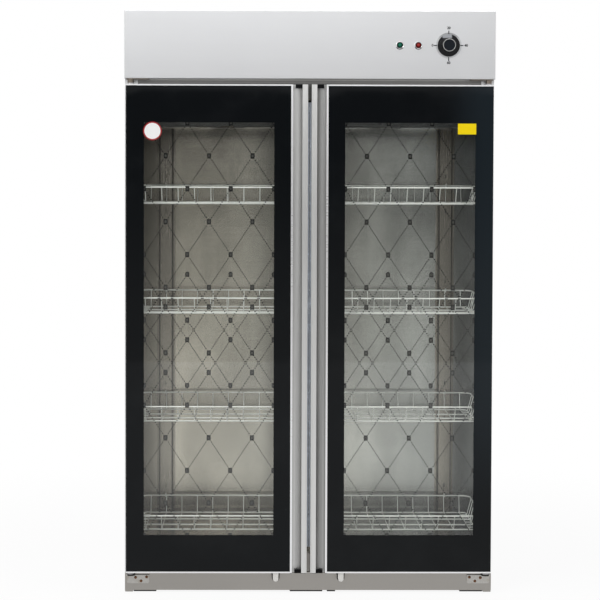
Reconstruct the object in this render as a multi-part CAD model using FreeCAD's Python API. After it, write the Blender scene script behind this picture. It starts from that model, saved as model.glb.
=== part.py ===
import FreeCAD, Part
import math
import os

# Dish sterilizer cabinet with two glazed doors, four lift-out wire baskets and a control header.
# Millimetres. X to the right, Y to the back, Z up. The origin is on the floor under the middle of
# the bounding box. The doors close the front, at negative Y.

V = FreeCAD.Vector
os.makedirs("parts", exist_ok=True)

# ---- driving dimensions ----
CABINET_W = 1200.0
CABINET_H = 1896.0
HALF_D = 275.0            # front of header and doors to the middle, and the middle to the back
REACH = 28.0              # how far the timer knob and the cable gland stand out, front and back
SHEET = 1.2               # outer sheet steel
LINER = 1.0               # inner sheet steel

HALF_W = CABINET_W / 2
FRONT = -HALF_D
BACK = HALF_D
FACE = FRONT + 38.0       # front plane of the carcass, where the door gaskets land
HEADER_BOTTOM = 1676.0
FOOT_H = 6.0
PLINTH_TOP = 66.0

DOOR_BOTTOM = 68.0
DOOR_TOP = 1658.0
DOOR_OUTER = 596.0        # hinge edge of a door, from the middle
DOOR_INNER = 5.7          # meeting edge of a door, from the middle
DOOR_BACK = FRONT + 28.0
GLASS_T = 5.0
GLASS_SEAT = FRONT + 7.0  # plane that the back of the glass is bonded to
RAIL_H = 45.0             # height of the top and bottom rails of a door
STILE_W = 44.0            # width of the hinge stile of a door
TUBE_WALL = 2.0
TRIM_LIP = 4.5            # lip of the rails that shows above and below the glass
TRIM_INNER = 54.0         # handle side of the trim beside the glass
TRIM_OUTER = 60.4         # glass side of the same trim
HANDLE_BACK = 90.0        # far side of the handle stile, behind the glass
GRIP_EDGE = 23.9          # where the finger scoop starts
FIT_GAP = 0.2
GLASS_MARGIN = 0.8        # how far the glass stays inside the hinge edge of the door

PIVOT_X = 580.0
PIVOT_Y = FRONT + 14.0
PIN_R = 4.0
PIN_FIT = 0.05            # radial clearance of a pin or shaft in its bush
BUSH_R = 7.0

CAVITY_HALF_W = 582.0
CAVITY_BACK = BACK - 24.0
CAVITY_FLOOR = 130.0
CAVITY_TOP = 1610.0
JAMB_W = 42.0             # how far the folded side jambs reach in behind the doors
JAMB_DEPTH = 11.0

SHELF_HEIGHTS = (197.0, 556.0, 912.0, 1274.0)   # centre of each basket's bottom frame
BASKET_HALF_W = 556.0
BASKET_HALF_D = 184.0
FLARE = 15.0              # how far the top ring stands out past the bottom frame, at the back and sides
FRONT_FLARE = 42.0        # the same at the front, where the fence leans out towards the doors
FRONT_FENCE = 51.0
BACK_FENCE = 57.0
RING_D = 6.0
FRAME_D = 5.0
WIRE_D = 3.2
WIRE_PITCH = 53.5
RING_CORNER = 38.0
HOOK_T = 3.0
HOOK_GAP = 0.3            # clearance between a ring and the hook that it lies in

POST_X = 485.0
POST_W = 46.0
POST_DEPTH = 25.0

DUCT_FRONT = 100.0
DUCT_BOTTOM = 1529.0
DUCT_HALF_W = 545.0
FAN_X = 270.0
FAN_Y = 178.0
FAN_R = 60.0
FAN_SHAFT_R = 4.0

KNOB_X = 448.0
PANEL_Z = 1785.0          # height of the knob and the lamps
KNOB_R = 36.0
LAMP_GREEN_X = 290.0
LAMP_RED_X = 350.0
LAMP_BEZEL_R = 13.8
LENS_R = 9.7
LAMP_HOLE_R = 9.0
LAMP_BARREL_R = 7.5       # bore of the bezel's tube, and the lamp's body inside it


# ---- helpers ----
def save(name, *solids):
    """Write one sub-part, made of one solid or of several that don't touch the same material."""
    shape = solids[0] if len(solids) == 1 else Part.makeCompound(list(solids))
    shape.exportStep(f"parts/{name}.step")


def block(x0, x1, y0, y1, z0, z1):
    return Part.makeBox(x1 - x0, y1 - y0, z1 - z0, V(x0, y0, z0))


def mirrored(shape):
    """The same piece on the other side of the cabinet."""
    return shape.mirror(V(0, 0, 0), V(1, 0, 0))


def both_sides(shape):
    return [shape, mirrored(shape)]


def cylinder(radius, height, base, axis=V(0, 0, 1)):
    return Part.makeCylinder(radius, height, base, axis)


def fused(shapes):
    return shapes[0].multiFuse(shapes[1:]).removeSplitter()


def prism(points, travel):
    """A straight-sided solid from a closed outline of points."""
    return Part.Face(Part.makePolygon([*points, points[0]])).extrude(travel)


def fold_outline(line, thickness):
    """Closed outline of a folded sheet: a 2-D polyline and the same line offset to its left."""
    inner = []
    for index, (u, v) in enumerate(line):
        before = line[max(index - 1, 0)]
        here = line[min(index, len(line) - 2)]
        after = line[min(index + 1, len(line) - 1)]
        first = (u - before[0], v - before[1]) if index else (after[0] - u, after[1] - v)
        second = (after[0] - here[0], after[1] - here[1])
        a, b = (math.hypot(*first), math.hypot(*second))
        left_a = (-first[1] / a, first[0] / a)
        left_b = (-second[1] / b, second[0] / b)
        mitre = 1 + left_a[0] * left_b[0] + left_a[1] * left_b[1]
        shift = [(p + q) * thickness / mitre for p, q in zip(left_a, left_b)]
        inner.append((u + shift[0], v + shift[1]))
    return [*line, *reversed(inner)]


def fold_upright(line, thickness, z0, z1):
    """A sheet folded along vertical bends: the line is in X and Y."""
    outline = [V(x, y, z0) for x, y in fold_outline(line, thickness)]
    return prism(outline, V(0, 0, z1 - z0))


def fold_across(line, thickness, x0, x1):
    """A sheet folded along bends that run across the cabinet: the line is in Y and Z."""
    outline = [V(x0, y, z) for y, z in fold_outline(line, thickness)]
    return prism(outline, V(x1 - x0, 0, 0))


def rod(start, end, diameter, sides=6):
    """A straight wire with a flat turned towards Z, or towards Y on an upright one."""
    along = end.sub(start)
    aside = V(1, 0, 0) if abs(along.x) < abs(along.y) + abs(along.z) else V(0, 1, 0)
    up = along.cross(aside).normalize()
    ring = []
    for index in range(sides):
        angle = 2 * math.pi * index / sides
        turned = aside * math.cos(angle) + up * math.sin(angle)
        ring.append(start + turned * (diameter / 2))
    return prism(ring, along)


def hexagon(flats, height, base, axis=V(0, 0, 1)):
    """A hexagonal prism of a size across its flats, as a nut has, standing on base along an axis."""
    aside = V(1, 0, 0)
    up = axis.cross(aside)
    corners = []
    for index in range(6):
        angle = math.pi * index / 3
        corners.append(base + (aside * math.cos(angle) + up * math.sin(angle)) * (flats / math.sqrt(3)))
    return prism(corners, axis * height)


def slanted_wire(foot, head, diameter):
    """A fence wire whose foot is cut level, so that it stands flat on the rail below it."""
    ring = []
    for index in range(6):
        angle = math.pi * index / 3
        ring.append(foot + V(math.cos(angle), math.sin(angle), 0) * (diameter / 2))
    return prism(ring, head.sub(foot))


# ---- carcass ----
def side_panel():
    """Left outer side with its folded jamb in front and its screw flange behind."""
    jamb_end = -HALF_W + JAMB_W
    line = [
        (-HALF_W + 22, BACK - SHEET),
        (-HALF_W, BACK - SHEET),
        (-HALF_W, FACE),
        (jamb_end, FACE),
        (jamb_end, FACE + JAMB_DEPTH),
    ]
    return fold_upright(line, SHEET, FOOT_H, CABINET_H - SHEET)


def back_panel():
    """Rear sheet with two banks of vent slots for the electrical space and the gland hole."""
    inset = SHEET
    sheet = block(-HALF_W + inset, HALF_W - inset, BACK - SHEET, BACK, FOOT_H, CABINET_H - inset)
    slots = []
    for bank in (-1, 1):
        for row in range(6):
            z = HEADER_BOTTOM + 38 + row * 16
            slots.append(block(bank * 250 - 60, bank * 250 + 60, BACK - 5, BACK + 5, z, z + 5))
    gland_hole = cylinder(GLAND_R + 0.1, 10, V(GLAND_X, BACK - 5, GLAND_Z), V(0, 1, 0))
    return sheet.cut(Part.makeCompound(slots)).cut(gland_hole)


def top_panel():
    """Lid with its edges turned down inside the side and back sheets."""
    lid = block(-HALF_W, HALF_W, FACE, BACK, CABINET_H - SHEET, CABINET_H)
    x, y0, y1 = (HALF_W - SHEET, FACE + JAMB_DEPTH, BACK - 2 * SHEET)
    skirt = block(-x, x, y0, y1, CABINET_H - 22, CABINET_H - SHEET)
    hollow = block(-x + SHEET, x - SHEET, y0 + SHEET, y1 - SHEET, CABINET_H - 30, CABINET_H)
    return fused([lid, skirt.cut(hollow)])


def header_fascia():
    """Folded front of the electrical space: rounded outside, open behind, pierced for the controls."""
    outer = block(-HALF_W, HALF_W, FRONT, FACE, HEADER_BOTTOM, CABINET_H)
    front_edges = [e for e in outer.Edges if all(abs(v.Point.y - FRONT) < 0.01 for v in e.Vertexes)]
    outer = outer.makeFillet(2.5, front_edges)
    inner = block(-HALF_W + SHEET, HALF_W - SHEET, FRONT + SHEET, FACE + 1,
                  HEADER_BOTTOM + SHEET, CABINET_H - SHEET)
    shell = outer.cut(inner)
    for x in (LAMP_GREEN_X, LAMP_RED_X):
        shell = shell.cut(cylinder(LAMP_HOLE_R + 0.1, 6, V(x, FRONT - 2, PANEL_Z), V(0, 1, 0)))
    return shell.cut(cylinder(6, 6, V(KNOB_X, FRONT - 2, PANEL_Z), V(0, 1, 0)))


def front_lintel():
    """Cross member over the doors' opening, folded back along its lower edge."""
    line = [(FACE + 20, CAVITY_TOP + 2), (FACE, CAVITY_TOP + 2), (FACE, HEADER_BOTTOM)]
    return fold_across(line, -SHEET, -HALF_W + JAMB_W, HALF_W - JAMB_W)


def front_sill():
    """Cross member under the doors' opening, folded back along its upper and lower edges."""
    line = [
        (FACE + 20, CAVITY_FLOOR - 2),
        (FACE, CAVITY_FLOOR - 2),
        (FACE, DOOR_BOTTOM + 1),
        (FACE + 16, DOOR_BOTTOM + 1),
    ]
    return fold_across(line, SHEET, -HALF_W + JAMB_W, HALF_W - JAMB_W)


def plinth():
    """Kick plate under the doors, with returns that stiffen it top and bottom."""
    front = FACE - 3
    line = [
        (FACE, PLINTH_TOP),
        (front, PLINTH_TOP),
        (front, FOOT_H),
        (FACE, FOOT_H),
    ]
    return fold_across(line, SHEET, -HALF_W, HALF_W)


def base_pan():
    """Bottom tray of the carcass: a flat pan with its rim turned up."""
    x = HALF_W - SHEET
    y0, y1 = (FACE + JAMB_DEPTH, BACK - 2 * SHEET)
    pan = block(-x, x, y0, y1, FOOT_H, FOOT_H + 32)
    return pan.cut(block(-x + SHEET, x - SHEET, y0 + SHEET, y1 - SHEET, FOOT_H + SHEET, FOOT_H + 40))


def feet():
    """Four steel corner feet with a rounded outer corner."""
    size = 26.0
    foot = block(-HALF_W, -HALF_W + size, FACE, FACE + 40, 0, FOOT_H)
    corner = [e for e in foot.Edges
              if all(abs(v.Point.x + HALF_W) < 0.01 and abs(v.Point.y - FACE) < 0.01 for v in e.Vertexes)]
    front = foot.makeFillet(4, corner)
    rear = block(-HALF_W, -HALF_W + size, BACK - 42, BACK - 2, 0, FOOT_H)
    return [*both_sides(front), *both_sides(rear)]


PAD_Y = (FACE + 24, BACK - 30)
PAD_X = ((-572, -498), (-60, 47), (62, 89), (498, 572))


def rubber_pads():
    """Anti-slip pads under the base pan, which carry the weight with the feet."""
    pads = []
    for y in PAD_Y:
        for x0, x1 in PAD_X:
            pads.append(block(x0, x1, y - 17, y + 17, 0, FOOT_H))
    return pads


def side_liner():
    """Left inner wall, turned outwards along its front edge to meet the jamb."""
    front = FACE + JAMB_DEPTH
    line = [(-CAVITY_HALF_W - 14, front), (-CAVITY_HALF_W, front), (-CAVITY_HALF_W, CAVITY_BACK)]
    return fold_upright(line, LINER, CAVITY_FLOOR, CAVITY_TOP)


def back_liner():
    return block(-CAVITY_HALF_W, CAVITY_HALF_W, CAVITY_BACK, CAVITY_BACK + LINER, CAVITY_FLOOR, CAVITY_TOP)


def ceiling_liner():
    """Inner ceiling, pierced for the two fan shafts and the legs of the heater."""
    sheet = block(-CAVITY_HALF_W, CAVITY_HALF_W, FACE + 21, CAVITY_BACK + LINER,
                  CAVITY_TOP, CAVITY_TOP + LINER)
    holes = [cylinder(10, 8, V(side * FAN_X, FAN_Y, CAVITY_TOP - 4)) for side in (-1, 1)]
    for y in HEATER_LEG_Y:
        holes.append(cylinder(HEATER_R + 0.5, 8, V(HEATER_X0, y, CAVITY_TOP - 4)))
    return sheet.cut(Part.makeCompound(holes))


def floor_liner():
    """Inner floor: a shallow drip pan with its edges turned down."""
    line = [
        (FACE + 21, CAVITY_FLOOR - 14),
        (FACE + 21, CAVITY_FLOOR),
        (CAVITY_BACK + LINER, CAVITY_FLOOR),
    ]
    outline = fold_outline(line, -LINER)
    x = CAVITY_HALF_W
    return prism([V(-x, y, z) for y, z in outline], V(2 * x, 0, 0))


def insulation():
    """Mineral wool slabs between the outer sheets and the liners."""
    side = block(-HALF_W + SHEET + 0.3, -CAVITY_HALF_W - LINER - 0.3, FACE + 14, CAVITY_BACK - 2,
                 CAVITY_FLOOR + 2, CAVITY_TOP - 2)
    rear = block(-570, 570, CAVITY_BACK + LINER + 0.3, BACK - 2 * SHEET - 1, CAVITY_FLOOR, CAVITY_TOP - 2)
    floor = block(-570, 570, FACE + 24, CAVITY_BACK - 2, CAVITY_FLOOR - 56, CAVITY_FLOOR - LINER - 0.3)
    top = block(-570, 570, FACE + 24, CAVITY_BACK - 2, CAVITY_TOP + LINER + 0.3, CAVITY_TOP + 22)
    dx, dy = (side + 2 for side in MOTOR_FLANGE)
    for x in (-FAN_X, FAN_X):
        top = top.cut(block(x - dx, x + dx, FAN_Y - dy, FAN_Y + dy, CAVITY_TOP, CAVITY_TOP + 40))
    nut_r = HEATER_NUT_FLATS / math.sqrt(3)
    for y in HEATER_LEG_Y:
        top = top.cut(cylinder(nut_r + 1, 60, V(HEATER_X0, y, CAVITY_TOP - 10)))
    top = top.cut(cylinder(THERMOSTAT_R + 1, 60, V(THERMOSTAT_X, THERMOSTAT_Y, CAVITY_TOP - 10)))
    return [*both_sides(side), rear, floor, top]


# ---- basket supports ----
POST_FACE = CAVITY_BACK - POST_DEPTH


def rear_post():
    """Left rear upright: a hat channel with a row of slots that the hooks plug into."""
    x = -POST_X
    half = POST_W / 2
    line = [
        (x - half - 9, CAVITY_BACK),
        (x - half, CAVITY_BACK),
        (x - half, POST_FACE),
        (x + half, POST_FACE),
        (x + half, CAVITY_BACK),
        (x + half + 9, CAVITY_BACK),
    ]
    line = [(u, v - (1.5 if v == CAVITY_BACK else 0)) for u, v in line]
    post = prism([V(u, v, CAVITY_FLOOR + 1) for u, v in fold_outline(line, 1.5)],
                 V(0, 0, DUCT_BOTTOM - CAVITY_FLOOR - 3))
    slots = []
    for height in SHELF_HEIGHTS:
        for step in (-2, -1, 0, 1):
            z = height + BACK_FENCE - 8 + step * 40
            slots.append(block(x - 2.2, x + 2.2, POST_FACE - 3, POST_FACE + 5, z - 7, z + 7))
    return post.cut(Part.makeCompound(slots))


def hook(origin, outward, side, reach):
    """A J hook of flat steel: a shank from the wall and an upturned cradle under the ring.

    origin is the middle of the ring that lies in it, outward points from the wall to the ring, and
    side is the direction of the plate's thickness.
    """
    cradle = RING_D / 2 + HOOK_GAP
    rim = cradle + HOOK_T
    up = V(0, 0, 1)

    def at(u, v):
        return origin + outward * u + up * v

    edges = [
        Part.LineSegment(at(-reach, -9), at(-reach, 5)),
        Part.LineSegment(at(-reach, 5), at(-cradle, 5)),
        Part.LineSegment(at(-cradle, 5), at(-cradle, 0)),
        Part.Arc(at(-cradle, 0), at(0, -cradle), at(cradle, 0)),
        Part.LineSegment(at(cradle, 0), at(cradle, 6)),
        Part.Arc(at(cradle, 6), at(cradle + HOOK_T / 2, 6 + HOOK_T / 2), at(rim, 6)),
        Part.LineSegment(at(rim, 6), at(rim, 0)),
        Part.Arc(at(rim, 0), at(rim * 0.6, -rim * 0.8), at(0, -rim)),
        Part.LineSegment(at(0, -rim), at(-reach, -9)),
    ]
    face = Part.Face(Part.Wire([e.toShape() for e in edges]))
    face.translate(side * (-HOOK_T / 2))
    return face.extrude(side * HOOK_T)


SIDE_HOOK_Y = -120.0
RING_FRONT = -BASKET_HALF_D - FRONT_FLARE
RING_BACK = BASKET_HALF_D + FLARE
RING_TILT = math.atan2(BACK_FENCE - FRONT_FENCE, RING_BACK - RING_FRONT)


def ring_height(base, y):
    """Height of the top ring's centre at a given depth."""
    return base + FRONT_FENCE + (y - RING_FRONT) * math.tan(RING_TILT)


def shelf_hooks():
    """Four hooks for each basket: two on the rear uprights and two on the side walls."""
    hooks = []
    side_ring_x = BASKET_HALF_W + FLARE
    for base in SHELF_HEIGHTS:
        rear_at = V(-POST_X, RING_BACK, ring_height(base, RING_BACK))
        rear = hook(rear_at, V(0, -1, 0), V(1, 0, 0), POST_FACE - RING_BACK)
        side_at = V(-side_ring_x, SIDE_HOOK_Y, ring_height(base, SIDE_HOOK_Y))
        side = hook(side_at, V(1, 0, 0), V(0, 1, 0), CAVITY_HALF_W - side_ring_x)
        hooks += [*both_sides(rear), *both_sides(side)]
    return hooks


# ---- wire baskets ----
def ring_end():
    """Right end of a top ring, flat at height 0: a side rail between two quarter-round corners."""
    x = BASKET_HALF_W + FLARE
    y0, y1 = (RING_FRONT, RING_BACK)
    r = RING_CORNER
    diagonal = r * (1 - math.sqrt(0.5))
    path = Part.Wire([
        Part.Arc(V(x - r, y0, 0), V(x - diagonal, y0 + diagonal, 0), V(x, y0 + r, 0)).toShape(),
        Part.LineSegment(V(x, y0 + r, 0), V(x, y1 - r, 0)).toShape(),
        Part.Arc(V(x, y1 - r, 0), V(x - diagonal, y1 - diagonal, 0), V(x - r, y1, 0)).toShape(),
    ])
    profile = []
    for index in range(7):
        angle = math.pi * index / 3
        profile.append(V(x - r, y0 + math.cos(angle) * RING_D / 2, math.sin(angle) * RING_D / 2))
    return path.makePipeShell([Part.makePolygon(profile)], True, False)


def placed_ring(shape, base):
    """Tilt a flat ring piece up towards the back and lift it to its basket."""
    piece = shape.copy()
    piece.rotate(V(0, 0, 0), V(1, 0, 0), math.degrees(RING_TILT))
    piece.translate(V(0, 0, ring_height(base, 0)))
    return piece


def spaced(count, pitch):
    return [(index - (count - 1) / 2) * pitch for index in range(count)]


WIRES_ACROSS = 21
WIRES_AT_END = 6


def basket(base):
    """One basket: a level bottom grid, sloping fences on four sides and two stiffeners below."""
    foot_z = base + FRAME_D / 2 * math.cos(math.pi / 6)
    x_end = BASKET_HALF_W
    y_end = BASKET_HALF_D
    ring_x = x_end + FLARE
    straight_x = ring_x - RING_CORNER

    grid = [rod(V(-x_end, y, base), V(x_end, y, base), FRAME_D) for y in (-y_end, y_end)]
    grid += [rod(V(x, -y_end, base), V(x, y_end, base), FRAME_D) for x in (-x_end, x_end)]
    grid += [rod(V(x, -y_end, base), V(x, y_end, base), WIRE_D) for x in spaced(WIRES_ACROSS, WIRE_PITCH)]
    pieces = [fused(grid)]

    for foot_y, ring_y in ((-y_end, RING_FRONT), (y_end, RING_BACK)):
        top_z = ring_height(base, ring_y)
        rail = placed_ring(rod(V(-straight_x, ring_y, 0), V(straight_x, ring_y, 0), RING_D), base)
        wires = [slanted_wire(V(x, foot_y, foot_z), V(x, ring_y, top_z), WIRE_D)
                 for x in spaced(WIRES_ACROSS, WIRE_PITCH) if abs(x) < straight_x]
        pieces.append(fused([rail, *wires]))

    end = placed_ring(ring_end(), base)
    side_wires = [slanted_wire(V(x_end, y, foot_z), V(ring_x, y, ring_height(base, y)), WIRE_D)
                  for y in spaced(WIRES_AT_END, WIRE_PITCH)]
    pieces += both_sides(fused([end, *side_wires]))

    under_z = base - (FRAME_D + WIRE_D) / 2 * math.cos(math.pi / 6)
    for y in (-60, 60):
        pieces.append(rod(V(-x_end + 4, y, under_z), V(x_end - 4, y, under_z), FRAME_D))
    return pieces


# ---- doors: the left one is modelled, and the right one mirrors it ----
def tube_section(outline, hole, travel):
    """A box tube or other hollow section of an extruded profile."""
    return prism(outline, travel).cut(prism(hole, travel))


def door_rail(edge, inward):
    """A top or bottom rail: a box tube with a lip in front that covers the edge of the glass.

    edge is the height of the door's outer edge there, and inward is 1 upwards or -1 downwards.
    """
    wall = TUBE_WALL
    x0, x1 = (-DOOR_OUTER, -HANDLE_BACK - FIT_GAP)
    far = edge + inward * RAIL_H
    lip = edge + inward * TRIM_LIP
    outline = [
        V(x0, DOOR_BACK, edge), V(x0, FRONT, edge), V(x0, FRONT, lip),
        V(x0, GLASS_SEAT, lip), V(x0, GLASS_SEAT, far), V(x0, DOOR_BACK, far),
    ]
    hole = [
        V(x0, DOOR_BACK - wall, edge + inward * wall), V(x0, GLASS_SEAT + wall, edge + inward * wall),
        V(x0, GLASS_SEAT + wall, far - inward * wall), V(x0, DOOR_BACK - wall, far - inward * wall),
    ]
    rail = tube_section(outline, hole, V(x1 - x0, 0, 0))
    lip_strip = block(x1, -TRIM_OUTER - FIT_GAP, FRONT, GLASS_SEAT, min(edge, lip), max(edge, lip))
    bush_bore = cylinder(BUSH_R, 60, V(-PIVOT_X, PIVOT_Y, edge - 30))
    return fused([rail, lip_strip]).cut(bush_bore)


def door_outer_stile():
    """Hinge stile between the rails: a box tube that the glass is bonded to."""
    wall = TUBE_WALL
    z0, z1 = (DOOR_BOTTOM + RAIL_H + FIT_GAP, DOOR_TOP - RAIL_H - FIT_GAP)
    x0, x1 = (-DOOR_OUTER, -DOOR_OUTER + STILE_W)
    outline = [
        V(x0, DOOR_BACK, z0), V(x0, GLASS_SEAT, z0), V(x1, GLASS_SEAT, z0), V(x1, DOOR_BACK, z0),
    ]
    hole = [
        V(x0 + wall, DOOR_BACK - wall, z0), V(x0 + wall, GLASS_SEAT + wall, z0),
        V(x1 - wall, GLASS_SEAT + wall, z0), V(x1 - wall, DOOR_BACK - wall, z0),
    ]
    return tube_section(outline, hole, V(0, 0, z1 - z0))


SCOOP_FLOOR = DOOR_BACK - 9.0
SCOOP_FOOT = 46.0
POCKET_X = 57.0
LIP_T = 4.0


def scoop_edges(z, inset=0.0):
    """Edges of the finger scoop from the grip strip down to the floor of the pocket."""
    start = V(-GRIP_EDGE - inset, FRONT, z)
    foot = V(-SCOOP_FOOT, SCOOP_FLOOR - inset, z)
    bend = V(-GRIP_EDGE - 8.5 - inset, FRONT + 12.5 - inset, z)
    return start, Part.Arc(start, bend, foot).toShape(), foot


def door_handle_stile():
    """Meeting stile: grip strip, curved finger scoop with an undercut pocket, and glass rebate."""
    z = DOOR_BOTTOM
    start, scoop, foot = scoop_edges(z)
    round_edge = 1.5
    corner = V(-DOOR_INNER - round_edge * (1 - math.sqrt(0.5)), FRONT + round_edge * (1 - math.sqrt(0.5)), z)
    side_end = V(-DOOR_INNER, FRONT + round_edge, z)
    front_end = V(-DOOR_INNER - round_edge, FRONT, z)
    edges = [
        Part.makeLine(V(-DOOR_INNER, DOOR_BACK, z), side_end),
        Part.Arc(side_end, corner, front_end).toShape(),
        Part.makeLine(front_end, start),
        scoop,
        Part.makeLine(foot, V(-POCKET_X + 2, SCOOP_FLOOR, z)),
        Part.Arc(V(-POCKET_X + 2, SCOOP_FLOOR, z), V(-POCKET_X + 0.6, SCOOP_FLOOR - 0.6, z),
                 V(-POCKET_X, SCOOP_FLOOR - 2, z)).toShape(),
        Part.makeLine(V(-POCKET_X, SCOOP_FLOOR - 2, z), V(-POCKET_X, FRONT + LIP_T, z)),
        Part.makeLine(V(-POCKET_X, FRONT + LIP_T, z), V(-TRIM_INNER, FRONT + LIP_T, z)),
        Part.makeLine(V(-TRIM_INNER, FRONT + LIP_T, z), V(-TRIM_INNER, FRONT, z)),
        Part.makeLine(V(-TRIM_INNER, FRONT, z), V(-TRIM_OUTER, FRONT, z)),
        Part.makeLine(V(-TRIM_OUTER, FRONT, z), V(-TRIM_OUTER, GLASS_SEAT, z)),
        Part.makeLine(V(-TRIM_OUTER, GLASS_SEAT, z), V(-HANDLE_BACK, GLASS_SEAT, z)),
        Part.makeLine(V(-HANDLE_BACK, GLASS_SEAT, z), V(-HANDLE_BACK, DOOR_BACK, z)),
        Part.makeLine(V(-HANDLE_BACK, DOOR_BACK, z), V(-DOOR_INNER, DOOR_BACK, z)),
    ]
    return Part.Face(Part.Wire(edges)).extrude(V(0, 0, DOOR_TOP - DOOR_BOTTOM))


END_CAP_H = 12.0


def door_end_caps():
    """Moulded plugs that fill the curved half of the finger scoop at its top and bottom."""
    caps = []
    for z in (DOOR_BOTTOM, DOOR_TOP - END_CAP_H):
        start, scoop, foot = scoop_edges(z, 0.05)
        edges = [
            scoop,
            Part.makeLine(foot, V(-SCOOP_FOOT, FRONT, z)),
            Part.makeLine(V(-SCOOP_FOOT, FRONT, z), start),
        ]
        caps.append(Part.Face(Part.Wire(edges)).extrude(V(0, 0, END_CAP_H)))
    return caps


def door_glass():
    """Toughened glass pane that covers the whole door inside the trim."""
    pane = block(-DOOR_OUTER + GLASS_MARGIN, -TRIM_OUTER - FIT_GAP, GLASS_SEAT - GLASS_T, GLASS_SEAT,
                 DOOR_BOTTOM + TRIM_LIP + FIT_GAP, DOOR_TOP - TRIM_LIP - FIT_GAP)
    corners = [e for e in pane.Edges if abs(e.Vertexes[0].Point.y - e.Vertexes[-1].Point.y) > 1]
    return pane.makeFillet(1.5, corners)


GASKET_OUT = 578.0
GASKET_IN = 12.0
GASKET_LOW = DOOR_BOTTOM + 20.0
GASKET_HIGH = DOOR_TOP - 20.0
GASKET_W = 14.0
GASKET_GAP = 0.5


def door_gasket():
    """Four mitred lengths of sealing strip, each with a foot on the door and a narrower sealing lip."""
    foot_y = DOOR_BACK
    neck_y = DOOR_BACK + 3.5
    tip_y = FACE - GASKET_GAP
    w = GASKET_W

    def strip(length_start, length_end, edge, inward, upright):
        """A strip with mitred ends along one side of the ring."""
        def point(along, across, y):
            return V(across, y, along) if upright else V(along, y, across)

        def layer(a0, a1, y):
            low, high = (length_start, length_end)
            return Part.makePolygon([
                point(low + a0, edge + inward * a0, y), point(high - a0, edge + inward * a0, y),
                point(high - a1, edge + inward * a1, y), point(low + a1, edge + inward * a1, y),
                point(low + a0, edge + inward * a0, y),
            ])

        foot = Part.Face(layer(0, w, foot_y)).extrude(V(0, neck_y - foot_y, 0))
        lip = Part.makeLoft([layer(2, w - 2, neck_y), layer(5, w - 5, tip_y)], True, True)
        return foot.fuse(lip).removeSplitter()

    x0, x1 = (-GASKET_OUT, -GASKET_IN)
    return [
        strip(x0, x1, GASKET_LOW, 1, False),
        strip(x0, x1, GASKET_HIGH, -1, False),
        strip(GASKET_LOW, GASKET_HIGH, x0, 1, True),
        strip(GASKET_LOW, GASKET_HIGH, x1, -1, True),
    ]


SEAL_LOW = DOOR_BOTTOM + 83.0
SEAL_HIGH = DOOR_TOP - 57.0


def door_seal_strip():
    """Soft lip on the meeting edge, which closes the gap between the doors with its twin."""
    line = [
        (-GASKET_IN + 0.3, DOOR_BACK + 5), (-GASKET_IN + 0.3, DOOR_BACK),
        (-DOOR_INNER + 0.1, DOOR_BACK), (-DOOR_INNER + 0.1, DOOR_BACK - 3),
        (-0.7, DOOR_BACK - 4), (-0.7, DOOR_BACK - 2.4), (-3.2, DOOR_BACK - 1), (-3.2, DOOR_BACK + 2),
        (-GASKET_IN + 2.3, DOOR_BACK + 2), (-GASKET_IN + 2.3, DOOR_BACK + 5),
    ]
    return prism([V(x, y, SEAL_LOW) for x, y in line], V(0, 0, SEAL_HIGH - SEAL_LOW))


BRACKET_ARM_Z = (58.0, 62.0)
BRACKET_T = 3.0
TOP_BRACKET_BOTTOM = HEADER_BOTTOM - BRACKET_T
BUSH_DEPTH = 24.0


def door_hinge_bushes():
    """Flanged nylon bushes in the ends of the door, which turn on the hinge pins."""
    bushes = []
    for edge, inward, flange in ((DOOR_BOTTOM, 1, DOOR_BOTTOM - BRACKET_ARM_Z[1] - 0.4), (DOOR_TOP, -1, 4.0)):
        barrel = cylinder(BUSH_R, BUSH_DEPTH, V(-PIVOT_X, PIVOT_Y, edge), V(0, 0, inward))
        collar = cylinder(BUSH_R + 3, flange, V(-PIVOT_X, PIVOT_Y, edge), V(0, 0, -inward))
        bore = cylinder(PIN_R + PIN_FIT, 80, V(-PIVOT_X, PIVOT_Y, edge - 40))
        bushes.append(barrel.fuse(collar).removeSplitter().cut(bore))
    return bushes


CATCH_X = 106.5


def door_catch():
    """Nylon magnet case under the door: a tongue with a round end that closes on the steel plinth."""
    half = 9.0
    y0, y1 = (FRONT + 7, FACE - 4)
    top, centre = (DOOR_BOTTOM, DOOR_BOTTOM - 20.5)
    x = -CATCH_X
    edges = [
        Part.makeLine(V(x + half, y0, centre), V(x + half, y0, top)),
        Part.makeLine(V(x + half, y0, top), V(x - half, y0, top)),
        Part.makeLine(V(x - half, y0, top), V(x - half, y0, centre)),
        Part.Arc(V(x - half, y0, centre), V(x, y0, centre - half), V(x + half, y0, centre)).toShape(),
    ]
    return Part.Face(Part.Wire(edges)).extrude(V(0, y1 - y0, 0))


# ---- hinges on the carcass ----
PLATE_X = (520.0, 594.0)
PLATE_Z = (29.0, 58.0)
PLINTH_FRONT = FACE - 3
SCREW_PLACES = ((565.0, 48.0), (547.0, 36.5), (529.0, 49.5))


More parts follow.
